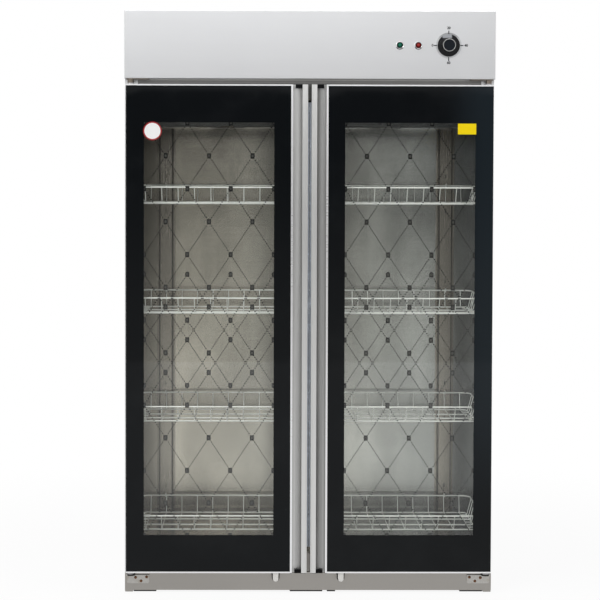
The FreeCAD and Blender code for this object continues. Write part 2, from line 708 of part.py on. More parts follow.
def bottom_hinge_bracket():
    """Angle bracket: a screwed plate on the plinth and a rounded arm that carries the pin."""
    x0, x1 = (-PLATE_X[1], -PLATE_X[0])
    plate = block(x0, x1, PLINTH_FRONT - BRACKET_T, PLINTH_FRONT, PLATE_Z[0], BRACKET_ARM_Z[1])
    lower = [e for e in plate.Edges if all(abs(v.Point.z - PLATE_Z[0]) < 0.01 for v in e.Vertexes)]
    corners = [e for e in lower if e.Length < BRACKET_T + 1]
    plate = plate.makeFillet(7, corners)
    half = 14.0
    x = -PIVOT_X
    notch = block(x + half, x1 + 1, PLINTH_FRONT - 10, PLINTH_FRONT + 1, PLATE_Z[1], DOOR_BOTTOM)
    z = BRACKET_ARM_Z[0]
    back_y = PLINTH_FRONT - BRACKET_T / 2
    edges = [
        Part.makeLine(V(x - half, PIVOT_Y, z), V(x - half, back_y, z)),
        Part.makeLine(V(x - half, back_y, z), V(x + half, back_y, z)),
        Part.makeLine(V(x + half, back_y, z), V(x + half, PIVOT_Y, z)),
        Part.Arc(V(x + half, PIVOT_Y, z), V(x, PIVOT_Y - half, z), V(x - half, PIVOT_Y, z)).toShape(),
    ]
    arm = Part.Face(Part.Wire(edges)).extrude(V(0, 0, BRACKET_ARM_Z[1] - z))
    holes = [cylinder(2.5, 10, V(-sx, PLINTH_FRONT - 6, sz), V(0, 1, 0)) for sx, sz in SCREW_PLACES]
    holes.append(cylinder(PIN_R, 20, V(x, PIVOT_Y, z - 5)))
    return fused([plate.cut(notch), arm]).cut(Part.makeCompound(holes))


def top_hinge_bracket():
    """Flat bracket under the header with a round boss that holds the upper pin."""
    plate = block(-PLATE_X[1], -PLATE_X[0], FRONT + 3, FACE - 2, TOP_BRACKET_BOTTOM, HEADER_BOTTOM)
    corners = [e for e in plate.Edges if abs(e.Vertexes[0].Point.z - e.Vertexes[-1].Point.z) > 1]
    plate = plate.makeFillet(4, corners)
    boss = cylinder(10, TOP_BRACKET_BOTTOM - DOOR_TOP - 4.4, V(-PIVOT_X, PIVOT_Y, DOOR_TOP + 4.4))
    return fused([plate, boss]).cut(cylinder(PIN_R, 60, V(-PIVOT_X, PIVOT_Y, DOOR_TOP - 10)))


def hinge_pins():
    """Four pins fixed in the brackets, with rounded tips inside the doors."""
    pins = []
    spans = ((BRACKET_ARM_Z[0], DOOR_BOTTOM + 20), (DOOR_TOP - 20, HEADER_BOTTOM))
    for low, high in spans:
        pin = cylinder(PIN_R, high - low, V(-PIVOT_X, PIVOT_Y, low))
        tip = high if low < 1000 else low
        rim = [e for e in pin.Edges if e.Closed and abs(e.Vertexes[0].Point.z - tip) < 0.01]
        pins += both_sides(pin.makeChamfer(1.0, rim))
    return pins


def hinge_screws():
    """Pan-head screws of the lower brackets."""
    screws = []
    for x, z in SCREW_PLACES:
        front = PLINTH_FRONT - BRACKET_T
        head = cylinder(4.6, 2.4, V(-x, front, z), V(0, -1, 0))
        rim = [e for e in head.Edges if e.Closed and abs(e.Vertexes[0].Point.y - front) > 2]
        head = head.makeChamfer(1.0, rim)
        shank = cylinder(2.4, BRACKET_T, V(-x, front, z), V(0, 1, 0))
        screws += both_sides(head.fuse(shank).removeSplitter())
    return screws


# ---- heating, air and light ----
def duct_housing():
    """Hot-air duct across the top of the rear wall: sloped nose, return slots and two fan mouths."""
    line = [
        (DUCT_FRONT, CAVITY_TOP),
        (DUCT_FRONT, DUCT_BOTTOM + 22),
        (DUCT_FRONT + 18, DUCT_BOTTOM),
        (CAVITY_BACK, DUCT_BOTTOM),
    ]
    skin = fold_across(line, LINER, -DUCT_HALF_W, DUCT_HALF_W)
    cheek_outline = [V(0, y, z) for y, z in line] + [V(0, CAVITY_BACK, CAVITY_TOP)]
    cheeks = []
    for x in (-DUCT_HALF_W, DUCT_HALF_W - LINER):
        cheek = prism(cheek_outline, V(LINER, 0, 0))
        cheek.translate(V(x, 0, 0))
        cheeks.append(cheek)
    housing = fused([skin, *cheeks])
    cuts = [cylinder(FAN_R + 6, 10, V(side * FAN_X, FAN_Y, DUCT_BOTTOM - 5)) for side in (-1, 1)]
    for x in spaced(18, 28):
        cuts.append(block(x - 4, x + 4, DUCT_FRONT - 5, DUCT_FRONT + 5, DUCT_BOTTOM + 32, CAVITY_TOP - 14))
    return housing.cut(Part.makeCompound(cuts))


MOTOR_BOTTOM = CAVITY_TOP + LINER
MOTOR_H = 52.0
MOTOR_FLANGE = (48.0, 36.0)


def fan_motors():
    """Two motors above the ceiling, each with a flange foot and a through bore for its shaft."""
    motors = []
    for side in (-1, 1):
        base = V(side * FAN_X, FAN_Y, MOTOR_BOTTOM)
        can = cylinder(34, MOTOR_H, base)
        top = MOTOR_BOTTOM + MOTOR_H
        rim = [e for e in can.Edges if e.Closed and abs(e.Vertexes[0].Point.z - top) < 0.01]
        can = can.makeFillet(5, rim)
        dx, dy = MOTOR_FLANGE
        flange = block(base.x - dx, base.x + dx, base.y - dy, base.y + dy, base.z, base.z + 3)
        bore = cylinder(FAN_SHAFT_R + PIN_FIT, MOTOR_H - 8, base)
        motors.append(fused([can, flange]).cut(bore))
    return motors


def fan_rotor(side):
    """Shaft, hub and five pitched blades of one fan."""
    x = side * FAN_X
    hub_low, hub_high = (CAVITY_TOP - 56, CAVITY_TOP - 34)
    shaft = cylinder(FAN_SHAFT_R, MOTOR_BOTTOM + 40 - hub_low, V(x, FAN_Y, hub_low))
    hub = cylinder(15, hub_high - hub_low, V(x, FAN_Y, hub_low))
    blades = []
    for index in range(5):
        sections = []
        for radius, half_chord, pitch in ((12.0, 13.0, 42.0), (FAN_R, 21.0, 24.0)):
            along = V(0, math.cos(math.radians(pitch)), math.sin(math.radians(pitch)))
            normal = V(0, -along.z, along.y)
            centre = V(radius, 0, (hub_low + hub_high) / 2)
            ends = ((-1, -1), (1, -1), (1, 1), (-1, 1), (-1, -1))
            points = [centre + along * (half_chord * a) + normal * (0.8 * b) for a, b in ends]
            sections.append(Part.makePolygon(points))
        blade = Part.makeLoft(sections, True, True)
        blade.rotate(V(0, 0, 0), V(0, 0, 1), 72 * index)
        blade.translate(V(x, FAN_Y, 0))
        blades.append(blade)
    return fused([shaft, hub, *blades])


HEATER_R = 4.0
HEATER_NUT_FLATS = 16.0
HEATER_X0 = -165.0
HEATER_X1 = 165.0
HEATER_LEG_Y = (150.0, 210.0)
HEATER_Z = CAVITY_TOP - 48.0


def heater_element():
    """Sheathed heating tube in a hairpin, whose legs pass up through the ceiling and are nutted there."""
    bend = 20.0
    top = CAVITY_TOP + 40
    near, far = HEATER_LEG_Y
    turn = (far - near) / 2
    s = bend * (1 - math.sqrt(0.5))
    x0, z = (HEATER_X0, HEATER_Z)
    middle = (near + far) / 2
    path = Part.Wire([
        Part.makeLine(V(x0, near, top), V(x0, near, z + bend)),
        Part.Arc(V(x0, near, z + bend), V(x0 + s, near, z + s), V(x0 + bend, near, z)).toShape(),
        Part.makeLine(V(x0 + bend, near, z), V(HEATER_X1 - turn, near, z)),
        Part.Arc(
            V(HEATER_X1 - turn, near, z), V(HEATER_X1, middle, z), V(HEATER_X1 - turn, far, z)).toShape(),
        Part.makeLine(V(HEATER_X1 - turn, far, z), V(x0 + bend, far, z)),
        Part.Arc(V(x0 + bend, far, z), V(x0 + s, far, z + s), V(x0, far, z + bend)).toShape(),
        Part.makeLine(V(x0, far, z + bend), V(x0, far, top)),
    ])
    profile = Part.Wire([Part.makeCircle(HEATER_R, V(x0, near, top), V(0, 0, -1))])
    tube = path.makePipeShell([profile], True, False)
    nuts = [hexagon(HEATER_NUT_FLATS, 8, V(x0, y, CAVITY_TOP + LINER)) for y in HEATER_LEG_Y]
    return fused([tube, *nuts])


UV_Y = -60.0
UV_Z = CAVITY_TOP - 25.0
UV_HALF = 225.0


def uv_lamp():
    """Germicidal tube along the ceiling."""
    glass = cylinder(8, 2 * UV_HALF, V(-UV_HALF, UV_Y, UV_Z), V(1, 0, 0))
    return glass


def uv_lamp_holders():
    """End holders that hang the tube from the ceiling."""
    holders = []
    for side in (-1, 1):
        x0, x1 = sorted((side * UV_HALF, side * (UV_HALF + 14)))
        body = block(x0, x1, UV_Y - 12, UV_Y + 12, UV_Z - 12, CAVITY_TOP)
        low = [e for e in body.Edges
               if all(abs(v.Point.z - UV_Z + 12) < 0.01 for v in e.Vertexes)
               and abs(e.Vertexes[0].Point.x - e.Vertexes[-1].Point.x) > 1]
        holders.append(body.makeFillet(6, low))
    return holders


THERMOSTAT_X = 60.0
THERMOSTAT_Y = 60.0
THERMOSTAT_R = 9.0


def thermostat():
    """Disc thermostat with two blade terminals, in contact with the ceiling liner."""
    z = CAVITY_TOP + LINER
    disc = cylinder(THERMOSTAT_R, 9, V(THERMOSTAT_X, THERMOSTAT_Y, z))
    cap = cylinder(6, 5, V(THERMOSTAT_X, THERMOSTAT_Y, z + 9))
    blades = [block(THERMOSTAT_X + dx - 0.4, THERMOSTAT_X + dx + 0.4, THERMOSTAT_Y - 3, THERMOSTAT_Y + 3,
                    z + 9, z + 26) for dx in (-8, 8)]
    return fused([disc, cap, *blades])


# ---- controls ----
def timer_body():
    """Wind-up timer behind the fascia, with a bushing for its shaft."""
    y0 = FRONT + SHEET
    case = block(KNOB_X - 28, KNOB_X + 28, y0, y0 + 42, PANEL_Z - 28, PANEL_Z + 28)
    upright = [e for e in case.Edges if abs(e.Vertexes[0].Point.y - e.Vertexes[-1].Point.y) > 1]
    case = case.makeFillet(5, upright)
    bore = cylinder(SHAFT_R + PIN_FIT, 30, V(KNOB_X, y0 - 1, PANEL_Z), V(0, 1, 0))
    return case.cut(bore)


SHAFT_R = 3.0
KNOB_BACK = FRONT - 0.6


def timer_shaft():
    """Shaft of the timer, which the knob is pushed onto."""
    front = FRONT - 16
    return cylinder(SHAFT_R, FRONT + SHEET + 20 - front, V(KNOB_X, front, PANEL_Z), V(0, 1, 0))


def turned(profile, x, z):
    """Revolve a profile of (radius, y) points about an axis that runs front to back."""
    points = [V(x + r, y, z) for r, y in profile]
    return Part.Face(Part.makePolygon([*points, points[0]])).revolve(V(x, 0, z), V(0, 1, 0), 360)


def timer_knob():
    """Round knob: dished skirt, waisted collar and flat cap."""
    tip = FRONT - REACH
    profile = [
        (SHAFT_R, KNOB_BACK), (KNOB_R, KNOB_BACK), (KNOB_R, KNOB_BACK - 2.5), (KNOB_R - 3, KNOB_BACK - 5.5),
        (24, KNOB_BACK - 7.5), (22, KNOB_BACK - 12), (21, tip + 1.5), (19.5, tip), (0, tip),
        (0, FRONT - 16), (SHAFT_R, FRONT - 16),
    ]
    return turned(profile, KNOB_X, PANEL_Z)


def lamp_bezel(x):
    """Thin chromed cup round an indicator lens, with the tube that passes through the fascia."""
    seat = LENS_R + FIT_GAP / 4
    profile = [
        (LAMP_BARREL_R, FRONT - 1), (seat, FRONT - 1), (seat, FRONT - 3.4), (seat + 0.6, FRONT - 4),
        (LAMP_BEZEL_R - 1.6, FRONT - 3.4), (LAMP_BEZEL_R, FRONT), (LAMP_HOLE_R, FRONT),
        (LAMP_HOLE_R, FRONT + 22), (LAMP_BARREL_R, FRONT + 22),
    ]
    return turned(profile, x, PANEL_Z)


def lamp_lens(x):
    """Domed lens that fills the bezel's cup, with the lamp's body behind it."""
    dome_r = 13.0
    dome_depth = dome_r - math.sqrt(dome_r**2 - LENS_R**2)
    rim_y = FRONT - 2.6
    dome = Part.makeSphere(dome_r, V(x, rim_y - dome_depth + dome_r, PANEL_Z)).common(
        cylinder(LENS_R, dome_depth, V(x, rim_y - dome_depth, PANEL_Z), V(0, 1, 0)))
    skirt = cylinder(LENS_R, FRONT - 1 - rim_y, V(x, rim_y, PANEL_Z), V(0, 1, 0))
    barrel = cylinder(LAMP_BARREL_R - FIT_GAP / 4, 21, V(x, FRONT - 1, PANEL_Z), V(0, 1, 0))
    return fused([dome, skirt, barrel])


def terminal_block():
    """Six-way connector on the inside of the back panel."""
    y = BACK - SHEET - 20
    z = PANEL_Z - 40
    body = block(-60, 60, y, BACK - SHEET, z - 15, z + 15)
    slots = [block(x - 0.8, x + 0.8, y - 2, y + 8, z - 20, z + 20) for x in spaced(7, 18)]
    screws = [cylinder(3, 6, V(x, y - 2, z), V(0, 1, 0)) for x in spaced(6, 18)]
    return body.cut(Part.makeCompound([*slots, *screws]))


GLAND_X = 470.0
GLAND_Z = 1774.0
GLAND_R = 10.0
GLAND_BORE_R = 4.6
GLAND_FLATS = 27.0


def cable_gland():
    """Supply cable gland: threaded body through the rear sheet, hexagon and domed nut."""
    inner_end = BACK - 14
    hex_end = BACK + 9
    tip = BACK + REACH
    profile = [
        (GLAND_BORE_R, inner_end), (GLAND_R, inner_end), (GLAND_R, hex_end), (13, hex_end),
        (13, tip - 9), (11, tip - 3), (8, tip), (GLAND_BORE_R, tip),
    ]
    body = turned(profile, GLAND_X, GLAND_Z)
    nut = hexagon(GLAND_FLATS, hex_end - BACK, V(GLAND_X, BACK, GLAND_Z), V(0, 1, 0))
    nut = nut.cut(cylinder(GLAND_R - 0.5, 20, V(GLAND_X, BACK - 2, GLAND_Z), V(0, 1, 0)))
    return fused([body, nut])


# ---- write every sub-part ----
left_side = side_panel()
save("left_side_panel", left_side)
save("right_side_panel", mirrored(left_side))
save("back_panel", back_panel())
save("top_panel", top_panel())
save("header_fascia", header_fascia())
save("front_lintel", front_lintel())
save("front_sill", front_sill())
save("plinth", plinth())
save("base_pan", base_pan())
save("feet", *feet())
save("rubber_pads", *rubber_pads())
save("side_liners", *both_sides(side_liner()))
save("back_liner", back_liner())
save("ceiling_liner", ceiling_liner())
save("floor_liner", floor_liner())
save("insulation", *insulation())
save("rear_posts", *both_sides(rear_post()))
save("shelf_hooks", *shelf_hooks())
for number, height in enumerate(SHELF_HEIGHTS, start=1):
    save(f"shelf_{number}_basket", *basket(height))

door_pieces = {
    "glass": [door_glass()],
    "outer_stile": [door_outer_stile()],
    "rails": [door_rail(DOOR_BOTTOM, 1), door_rail(DOOR_TOP, -1)],
    "handle_stile": [door_handle_stile()],
    "end_caps": door_end_caps(),
    "gasket": door_gasket(),
    "seal_strip": [door_seal_strip()],
    "hinge_bushes": door_hinge_bushes(),
    "catch": [door_catch()],
}
for piece, solids in door_pieces.items():
    save(f"left_door_{piece}", *solids)
    save(f"right_door_{piece}", *[mirrored(solid) for solid in solids])

save("bottom_hinge_brackets", *both_sides(bottom_hinge_bracket()))
save("top_hinge_brackets", *both_sides(top_hinge_bracket()))
save("hinge_pins", *hinge_pins())
save("hinge_screws", *hinge_screws())
save("duct_housing", duct_housing())
save("fan_motors", *fan_motors())
save("left_fan_rotor", fan_rotor(-1))
save("right_fan_rotor", fan_rotor(1))
save("heater_element", heater_element())
save("uv_lamp", uv_lamp())
save("uv_lamp_holders", *uv_lamp_holders())
save("thermostat", thermostat())
save("timer_body", timer_body())
save("timer_shaft", timer_shaft())
save("timer_knob", timer_knob())
save("lamp_bezels", lamp_bezel(LAMP_GREEN_X), lamp_bezel(LAMP_RED_X))
save("green_lamp", lamp_lens(LAMP_GREEN_X))
save("red_lamp", lamp_lens(LAMP_RED_X))
save("terminal_block", terminal_block())
save("cable_gland", cable_gland())
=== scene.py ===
import math

import bmesh
import bpy
from mathutils import Matrix, Vector


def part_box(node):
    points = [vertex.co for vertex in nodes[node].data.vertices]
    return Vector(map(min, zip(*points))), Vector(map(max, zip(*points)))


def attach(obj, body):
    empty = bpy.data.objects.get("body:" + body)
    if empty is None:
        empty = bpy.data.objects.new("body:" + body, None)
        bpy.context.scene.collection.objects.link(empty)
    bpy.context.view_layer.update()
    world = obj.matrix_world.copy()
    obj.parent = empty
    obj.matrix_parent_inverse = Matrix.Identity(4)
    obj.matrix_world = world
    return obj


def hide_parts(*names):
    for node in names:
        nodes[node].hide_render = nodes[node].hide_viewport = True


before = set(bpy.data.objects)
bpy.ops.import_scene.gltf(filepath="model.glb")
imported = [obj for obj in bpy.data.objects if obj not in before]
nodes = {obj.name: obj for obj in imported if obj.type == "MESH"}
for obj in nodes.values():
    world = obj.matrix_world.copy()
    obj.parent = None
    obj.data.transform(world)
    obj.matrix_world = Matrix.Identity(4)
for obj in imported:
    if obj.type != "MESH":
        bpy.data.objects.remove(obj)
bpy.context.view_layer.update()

# Looks of a dish sterilizer cabinet: two glazed doors, four wire baskets, a control header.
# Metres. X to the right, Y to the back, Z up. The doors close the front, at negative Y.

# ---- driving sizes, taken from the frame where a node gives them ----
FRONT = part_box("header_fascia")[0].y
STILE_LOW, STILE_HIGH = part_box("left_door_handle_stile")
DOOR_LOW, DOOR_HIGH, DOOR_BACK = (STILE_LOW.z, STILE_HIGH.z, STILE_HIGH.y)
PLINTH_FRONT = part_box("plinth")[0].y
GLASS_LOW, GLASS_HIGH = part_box("right_door_glass")
LEFT, RIGHT = (-1, 1)
SIDES = {"left": LEFT, "right": RIGHT}

WINDOW_IN = 0.115         # clear window of each door: distance of its edges from the middle
WINDOW_OUT = 0.537
WINDOW_LOW = DOOR_LOW + 0.124
WINDOW_HIGH = DOOR_HIGH - 0.123


# ---- materials: a small kit ----
class Value:
    """One output of a node tree. Arithmetic on it adds Math nodes to that tree."""

    def __init__(self, graph, socket):
        self.graph = graph
        self.socket = socket

    def maths(self, operation, *terms):
        return self.graph.node("ShaderNodeMath", {"operation": operation}, dict(enumerate(terms)))

    def __add__(self, other):
        return self.maths("ADD", self, other)

    def __sub__(self, other):
        return self.maths("SUBTRACT", self, other)

    def __rsub__(self, other):
        return self.maths("SUBTRACT", other, self)

    def __mul__(self, other):
        return self.maths("MULTIPLY", self, other)

    def __gt__(self, other):
        return self.maths("GREATER_THAN", self, other)

    def __abs__(self):
        return self.maths("ABSOLUTE", self)

    __radd__ = __add__


class Graph:
    """A node tree under construction."""

    def __init__(self, tree):
        self.tree = tree

    def plug(self, socket, value):
        """Link a value to a socket, or write a number or a colour in it."""
        if isinstance(value, Value):
            self.tree.links.new(value.socket, socket)
        elif isinstance(value, tuple) and len(value) == 3 and socket.type == "RGBA":
            socket.default_value = (*value, 1.0)
        else:
            socket.default_value = value

    def node(self, kind, settings=None, inputs=None, output=0):
        """Add any node: its settings first, then the numbers or values of its sockets."""
        made = self.tree.nodes.new(kind)
        for name, value in (settings or {}).items():
            setattr(made, name, value)
        for key, value in (inputs or {}).items():
            self.plug(made.inputs[key], value)
        return Value(self, made.outputs[output])

    def shown(self):
        """1 for what the camera, a mirror or a glass sees, and 0 for what is only lit."""
        seen, mirrored, through = (self.node("ShaderNodeLightPath", output=f"Is {ray} Ray")
                                   for ray in ("Camera", "Glossy", "Transmission"))
        return self.node("ShaderNodeMath", {"operation": "ADD", "use_clamp": True},
                         {0: seen + mirrored, 1: through})


class Finish(Graph):
    """A material under construction. Fixed sockets are named with underscores for spaces."""

    def __init__(self, name, **fixed):
        self.material = bpy.data.materials.new(name)
        self.material.use_nodes = True
        super().__init__(self.material.node_tree)
        self.shader = self.tree.nodes["Principled BSDF"]
        self.set(**fixed)

    def set(self, **sockets):
        """Give the shader's sockets numbers, colours or values, and return the material."""
        for name, value in sockets.items():
            label = name.replace("_", " ").title().replace("Ior", "IOR")
            self.plug(self.shader.inputs[label], value)
        return self.material

    def surface(self, value):
        """Send a shader other than the principled one to the material's output."""
        out = next(node for node in self.tree.nodes if node.type == "OUTPUT_MATERIAL")
        self.plug(out.inputs["Surface"], value)

    def place(self):
        """The place on the object, as Object coordinates."""
        return self.node("ShaderNodeTexCoord", output="Object")

    def along(self, axis):
        """One coordinate of the place on the object: "X", "Y" or "Z"."""
        return self.node("ShaderNodeSeparateXYZ", inputs={0: self.place()}, output=axis)

    def noise(self, scale, stretch=(1, 1, 1), detail=2.0, roughness=0.5):
        """Soft noise about 0.5, with its grain stretched along the small numbers."""
        place = self.node("ShaderNodeMapping", inputs={"Vector": self.place(), "Scale": stretch})
        return self.node("ShaderNodeTexNoise", inputs={
            "Vector": place, "Scale": scale, "Detail": detail, "Roughness": roughness})

    def specks(self, scale):
        """Distance to scattered points, for the spangles of zinc."""
        return self.node("ShaderNodeTexVoronoi", inputs={"Vector": self.place(), "Scale": scale})

    def ramp(self, value, low, high):
        """0 below low, 1 above high and a smooth step between."""
        return self.node("ShaderNodeMapRange", {"interpolation_type": "SMOOTHSTEP"},
                         {"Value": value, "From Min": low, "From Max": high})

    def mix(self, first, second, share):
        """A colour between two others."""
        colours = {0: share, 6: first, 7: second}
        return self.node("ShaderNodeMix", {"data_type": "RGBA"}, colours, output=2)

    def bump(self, height, distance):
        """Relief from a height between 0 and 1 and the distance it stands for."""
        return self.node("ShaderNodeBump", inputs={"Height": height, "Distance": distance})


def shade(colour, factor):
    """A colour made lighter or darker by a factor."""
    return tuple(channel * factor for channel in colour)


# ---- finishes ----
GRAIN = {"X": (0.012, 1, 1), "Z": (1, 1, 0.012)}     # how brush lines are stretched along an axis
MIRROR_AHEAD = 0.034      # share of mirror in the glass seen straight on
MIRROR_ASLANT = 0.9       # what a slant adds to it at most
POST_X = 0.485            # middle of a rear upright
LINTEL_LIT = (1.6700, 1.6735)     # heights between which the lintel's shade fades out
LINTEL_DARK = (1.6610, 1.6640)    # and those for its painted dark line of shadow
GAP_HEIGHTS = (0.0555, 0.0572)    # heights between which a lower hinge plate turns dark with painted shade
GAP_ENDS = (0.592, 0.589)         # and distances from the middle
DIAL_HEIGHTS = (1.803, 1.816)     # heights between which the knob's plate turns darker
PAINTED_HIGHLIGHT_X = 0.4425          # middle of the knob's painted highlight
PAINTED_HIGHLIGHT_Z = 1.785


def brushed_metal(name, colour, roughness, grain, depth=0.00004, contrast=0.06, shadow=None):
    """Sheet metal with brush lines, slow clouds in its polish and faint wipe marks.

    shadow is a function that says how dark the metal is, from 0 to 1.
    """
    finish = Finish(name, metallic=1.0, anisotropic=0.5)
    fine = finish.noise(900, GRAIN[grain], detail=3)
    broad = finish.noise(140, GRAIN[grain], detail=2)
    clouds = finish.noise(2.3, detail=3)
    wiped = finish.ramp(finish.noise(7, (1, 1, 0.35), detail=4), 0.52, 0.75)
    lines = fine * 0.6 + broad * 0.4
    tone = lines * 0.7 + clouds * 0.3
    metal = finish.mix(shade(colour, 1 - contrast), shade(colour, 1 + contrast), tone)
    return finish.set(
        base_color=finish.mix(metal, shade(colour, 0.12), shadow(finish)) if shadow else metal,
        roughness=roughness + (lines - 0.5) * 0.16 + (clouds - 0.5) * 0.1 + wiped * 0.04,
        normal=finish.bump(lines, depth),
    )


def polished_sheet(name, warm, cool, roughness, grain, contrast=0.28):
    """Bright lining sheet: its soft patches and upright streaks are painted reflections, and its
    tint, warmer on the left, is a painted reflection too.
    """
    finish = Finish(name, metallic=1.0, anisotropic=0.3, specular_tint=(0.77, 0.77, 0.77))
    lines = finish.noise(500, GRAIN[grain], detail=3)
    painted_reflection_patches = finish.noise(2.6, (1, 1, 0.7), detail=3, roughness=0.55)
    painted_reflection_streaks = finish.noise(9, (1, 1, 0.10), detail=3)
    tone = finish.ramp(painted_reflection_patches * 0.65 + painted_reflection_streaks * 0.27 + lines * 0.08, 0.36, 0.64)
    side = finish.ramp(finish.along("X"), -0.45, 0.50)
    dark = finish.mix(shade(warm, 1 - contrast), shade(cool, 1 - contrast), side)
    light = finish.mix(shade(warm, 1 + contrast * 0.6), shade(cool, 1 + contrast * 0.6), side)
    return finish.set(
        base_color=finish.mix(dark, light, tone),
        roughness=roughness + (lines - 0.5) * 0.05 + (painted_reflection_patches - 0.5) * 0.12,
        normal=finish.bump(lines, 0.000003),
    )


def chrome(name, colour, roughness, metallic=1.0):
    """Bright plated wire with a little orange peel and duller plating here and there."""
    finish = Finish(name, metallic=metallic)
    peel = finish.noise(420, detail=2)
    dull = finish.ramp(finish.noise(16, detail=4), 0.55, 0.8)
    return finish.set(
        base_color=finish.mix(colour, shade(colour, 0.78), dull),
        roughness=roughness + dull * 0.14 + peel * 0.05,
        normal=finish.bump(peel, 0.00006),
    )


def zinc_plate(name, colour=(0.55, 0.55, 0.53), shadow=None):
    """Plated bracket steel: spangled, with a warm passivated cast in its low spots."""
    finish = Finish(name, metallic=1.0)
    spangle = finish.specks(260)
    stain = finish.ramp(finish.noise(45, detail=5), 0.5, 0.72)
    clean = finish.mix(colour, shade(colour, 1.2), spangle)
    plating = finish.mix(clean, (0.30, 0.25, 0.18), stain * 0.4)
    return finish.set(
        base_color=finish.mix(plating, shade(colour, 0.04), shadow(finish)) if shadow else plating,
        roughness=0.30 + spangle * 0.12 + stain * 0.1,
        normal=finish.bump(spangle, 0.00004),
    )


def moulded_plastic(name, colour, roughness, grain=650, depth=0.00003, specular=0.5, painted_highlight=None):
    """Moulded plastic with a fine spark grain and slightly polished wear, and, where given, a
    painted highlight.
    """
    finish = Finish(name, specular_ior_level=specular)
    sparks = finish.noise(grain, detail=3, roughness=0.6)
    worn = finish.ramp(finish.noise(22, detail=4), 0.55, 0.8)
    plain = finish.mix(shade(colour, 0.88), shade(colour, 1.14), sparks)
    return finish.set(
        base_color=finish.mix(plain, (0.30, 0.31, 0.33), painted_highlight(finish)) if painted_highlight else plain,
        roughness=roughness + (sparks - 0.5) * 0.14 - worn * 0.07,
        normal=finish.bump(sparks, depth),
    )


def rubber(name, colour, roughness=0.62):
    """Soft rubber or silicone with a dusty bloom."""
    finish = Finish(name, specular_ior_level=0.35)
    bloom = finish.noise(30, detail=5, roughness=0.65)
    pores = finish.noise(1400, detail=2)
    return finish.set(
        base_color=finish.mix(colour, shade(colour, 1.7), finish.ramp(bloom, 0.45, 0.85)),
        roughness=roughness + (bloom - 0.5) * 0.2,
        normal=finish.bump(pores, 0.00004),
    )


def clear_glass(name, tint):
    """Flat glass: a tinted pass that lets lamps through, and more mirror at a slant."""
    finish = Finish(name)
    finish.tree.nodes.remove(finish.shader)
    haze = finish.ramp(finish.noise(5, detail=4), 0.5, 0.85)
    clear = finish.node("ShaderNodeBsdfTransparent", inputs={"Color": tint})
    mirror = finish.node("ShaderNodeBsdfGlossy", inputs={"Roughness": 0.015, "Color": (1, 1, 1)})
    slant = finish.node("ShaderNodeLayerWeight", inputs={"Blend": 0.5}, output="Facing")
    share = MIRROR_AHEAD + slant * slant * slant * slant * slant * MIRROR_ASLANT
    finish.surface(finish.node("ShaderNodeMixShader", inputs={
        0: share * (0.85 + haze * 0.3), 1: clear, 2: mirror}))
    return finish.material


def black_print(name):
    """Black border fired behind glass, with a glass-smooth face and a faint finger haze."""
    finish = Finish(name, specular_ior_level=0.12)
    haze = finish.ramp(finish.noise(4, detail=5, roughness=0.6), 0.45, 0.8)
    black = finish.mix((0.0044, 0.0053, 0.0062), (0.0080, 0.0092, 0.0102), haze)
    rightmost = finish.ramp(finish.along("X"), 0.42, 0.575)
    bluish = rightmost * finish.ramp(finish.along("Z"), 0.2, 0.7)
    return finish.set(
        base_color=finish.mix(black, (0.0118, 0.0165, 0.0205), bluish),
        roughness=0.03 + haze * 0.05,
    )


def lamp_lens(name, bright, deep):
    """Moulded lens with fine flutes inside, bright on its crown as a painted highlight and deep at
    its rim as painted shade.
    """
    finish = Finish(name, specular_ior_level=0.08, coat_weight=0.04, coat_roughness=0.05)
    flutes = finish.noise(900, detail=2)
    fall = finish.ramp(finish.along("Y"), FRONT - 0.0068, FRONT - 0.0050)
    fluted = finish.mix(finish.mix(bright, deep, fall), deep, flutes * 0.5)
    return finish.set(
        base_color=fluted,
        roughness=0.16 + flutes * 0.1,
        emission_color=fluted,
        emission_strength=0.15,
        normal=finish.bump(flutes, 0.0001),
    )


def mineral_wool(name):
    """Yellowish wool with its fibres lying in layers."""
    finish = Finish(name, roughness=0.95)
    fibres = finish.noise(260, (1, 0.15, 1), detail=5)
    return finish.set(base_color=finish.mix((0.30, 0.25, 0.14), (0.52, 0.45, 0.28), fibres),
               normal=finish.bump(fibres, 0.002))


def printed_film(name, colour, roughness=0.35, specular=0.2):
    """Printed or painted film with a slightly uneven ink."""
    finish = Finish(name, specular_ior_level=specular)
    ink = finish.noise(500, detail=3)
    return finish.set(
        base_color=finish.mix(shade(colour, 0.9), shade(colour, 1.08), ink),
        roughness=roughness + (ink - 0.5) * 0.15,
        normal=finish.bump(ink, 0.00002),
    )


def rusted_screw(name):
    """Brassy brown screw head, darker where it has tarnished."""
    finish = Finish(name, metallic=0.9)
    tarnish = finish.ramp(finish.noise(330, detail=4), 0.4, 0.7)
    return finish.set(
        base_color=finish.mix((0.20, 0.095, 0.05), (0.045, 0.022, 0.014), tarnish),
        roughness=0.34 + tarnish * 0.3,
        normal=finish.bump(tarnish, 0.0001),
    )


def milky_glass(name):
    """Germicidal tube: clear quartz with a grey cast at its ends."""
    finish = Finish(name, roughness=0.08, coat_weight=0.5)
    ends = finish.ramp(abs(finish.along("X")), 0.17, 0.215)
    return finish.set(base_color=finish.mix((0.62, 0.66, 0.72), (0.16, 0.15, 0.16), ends))


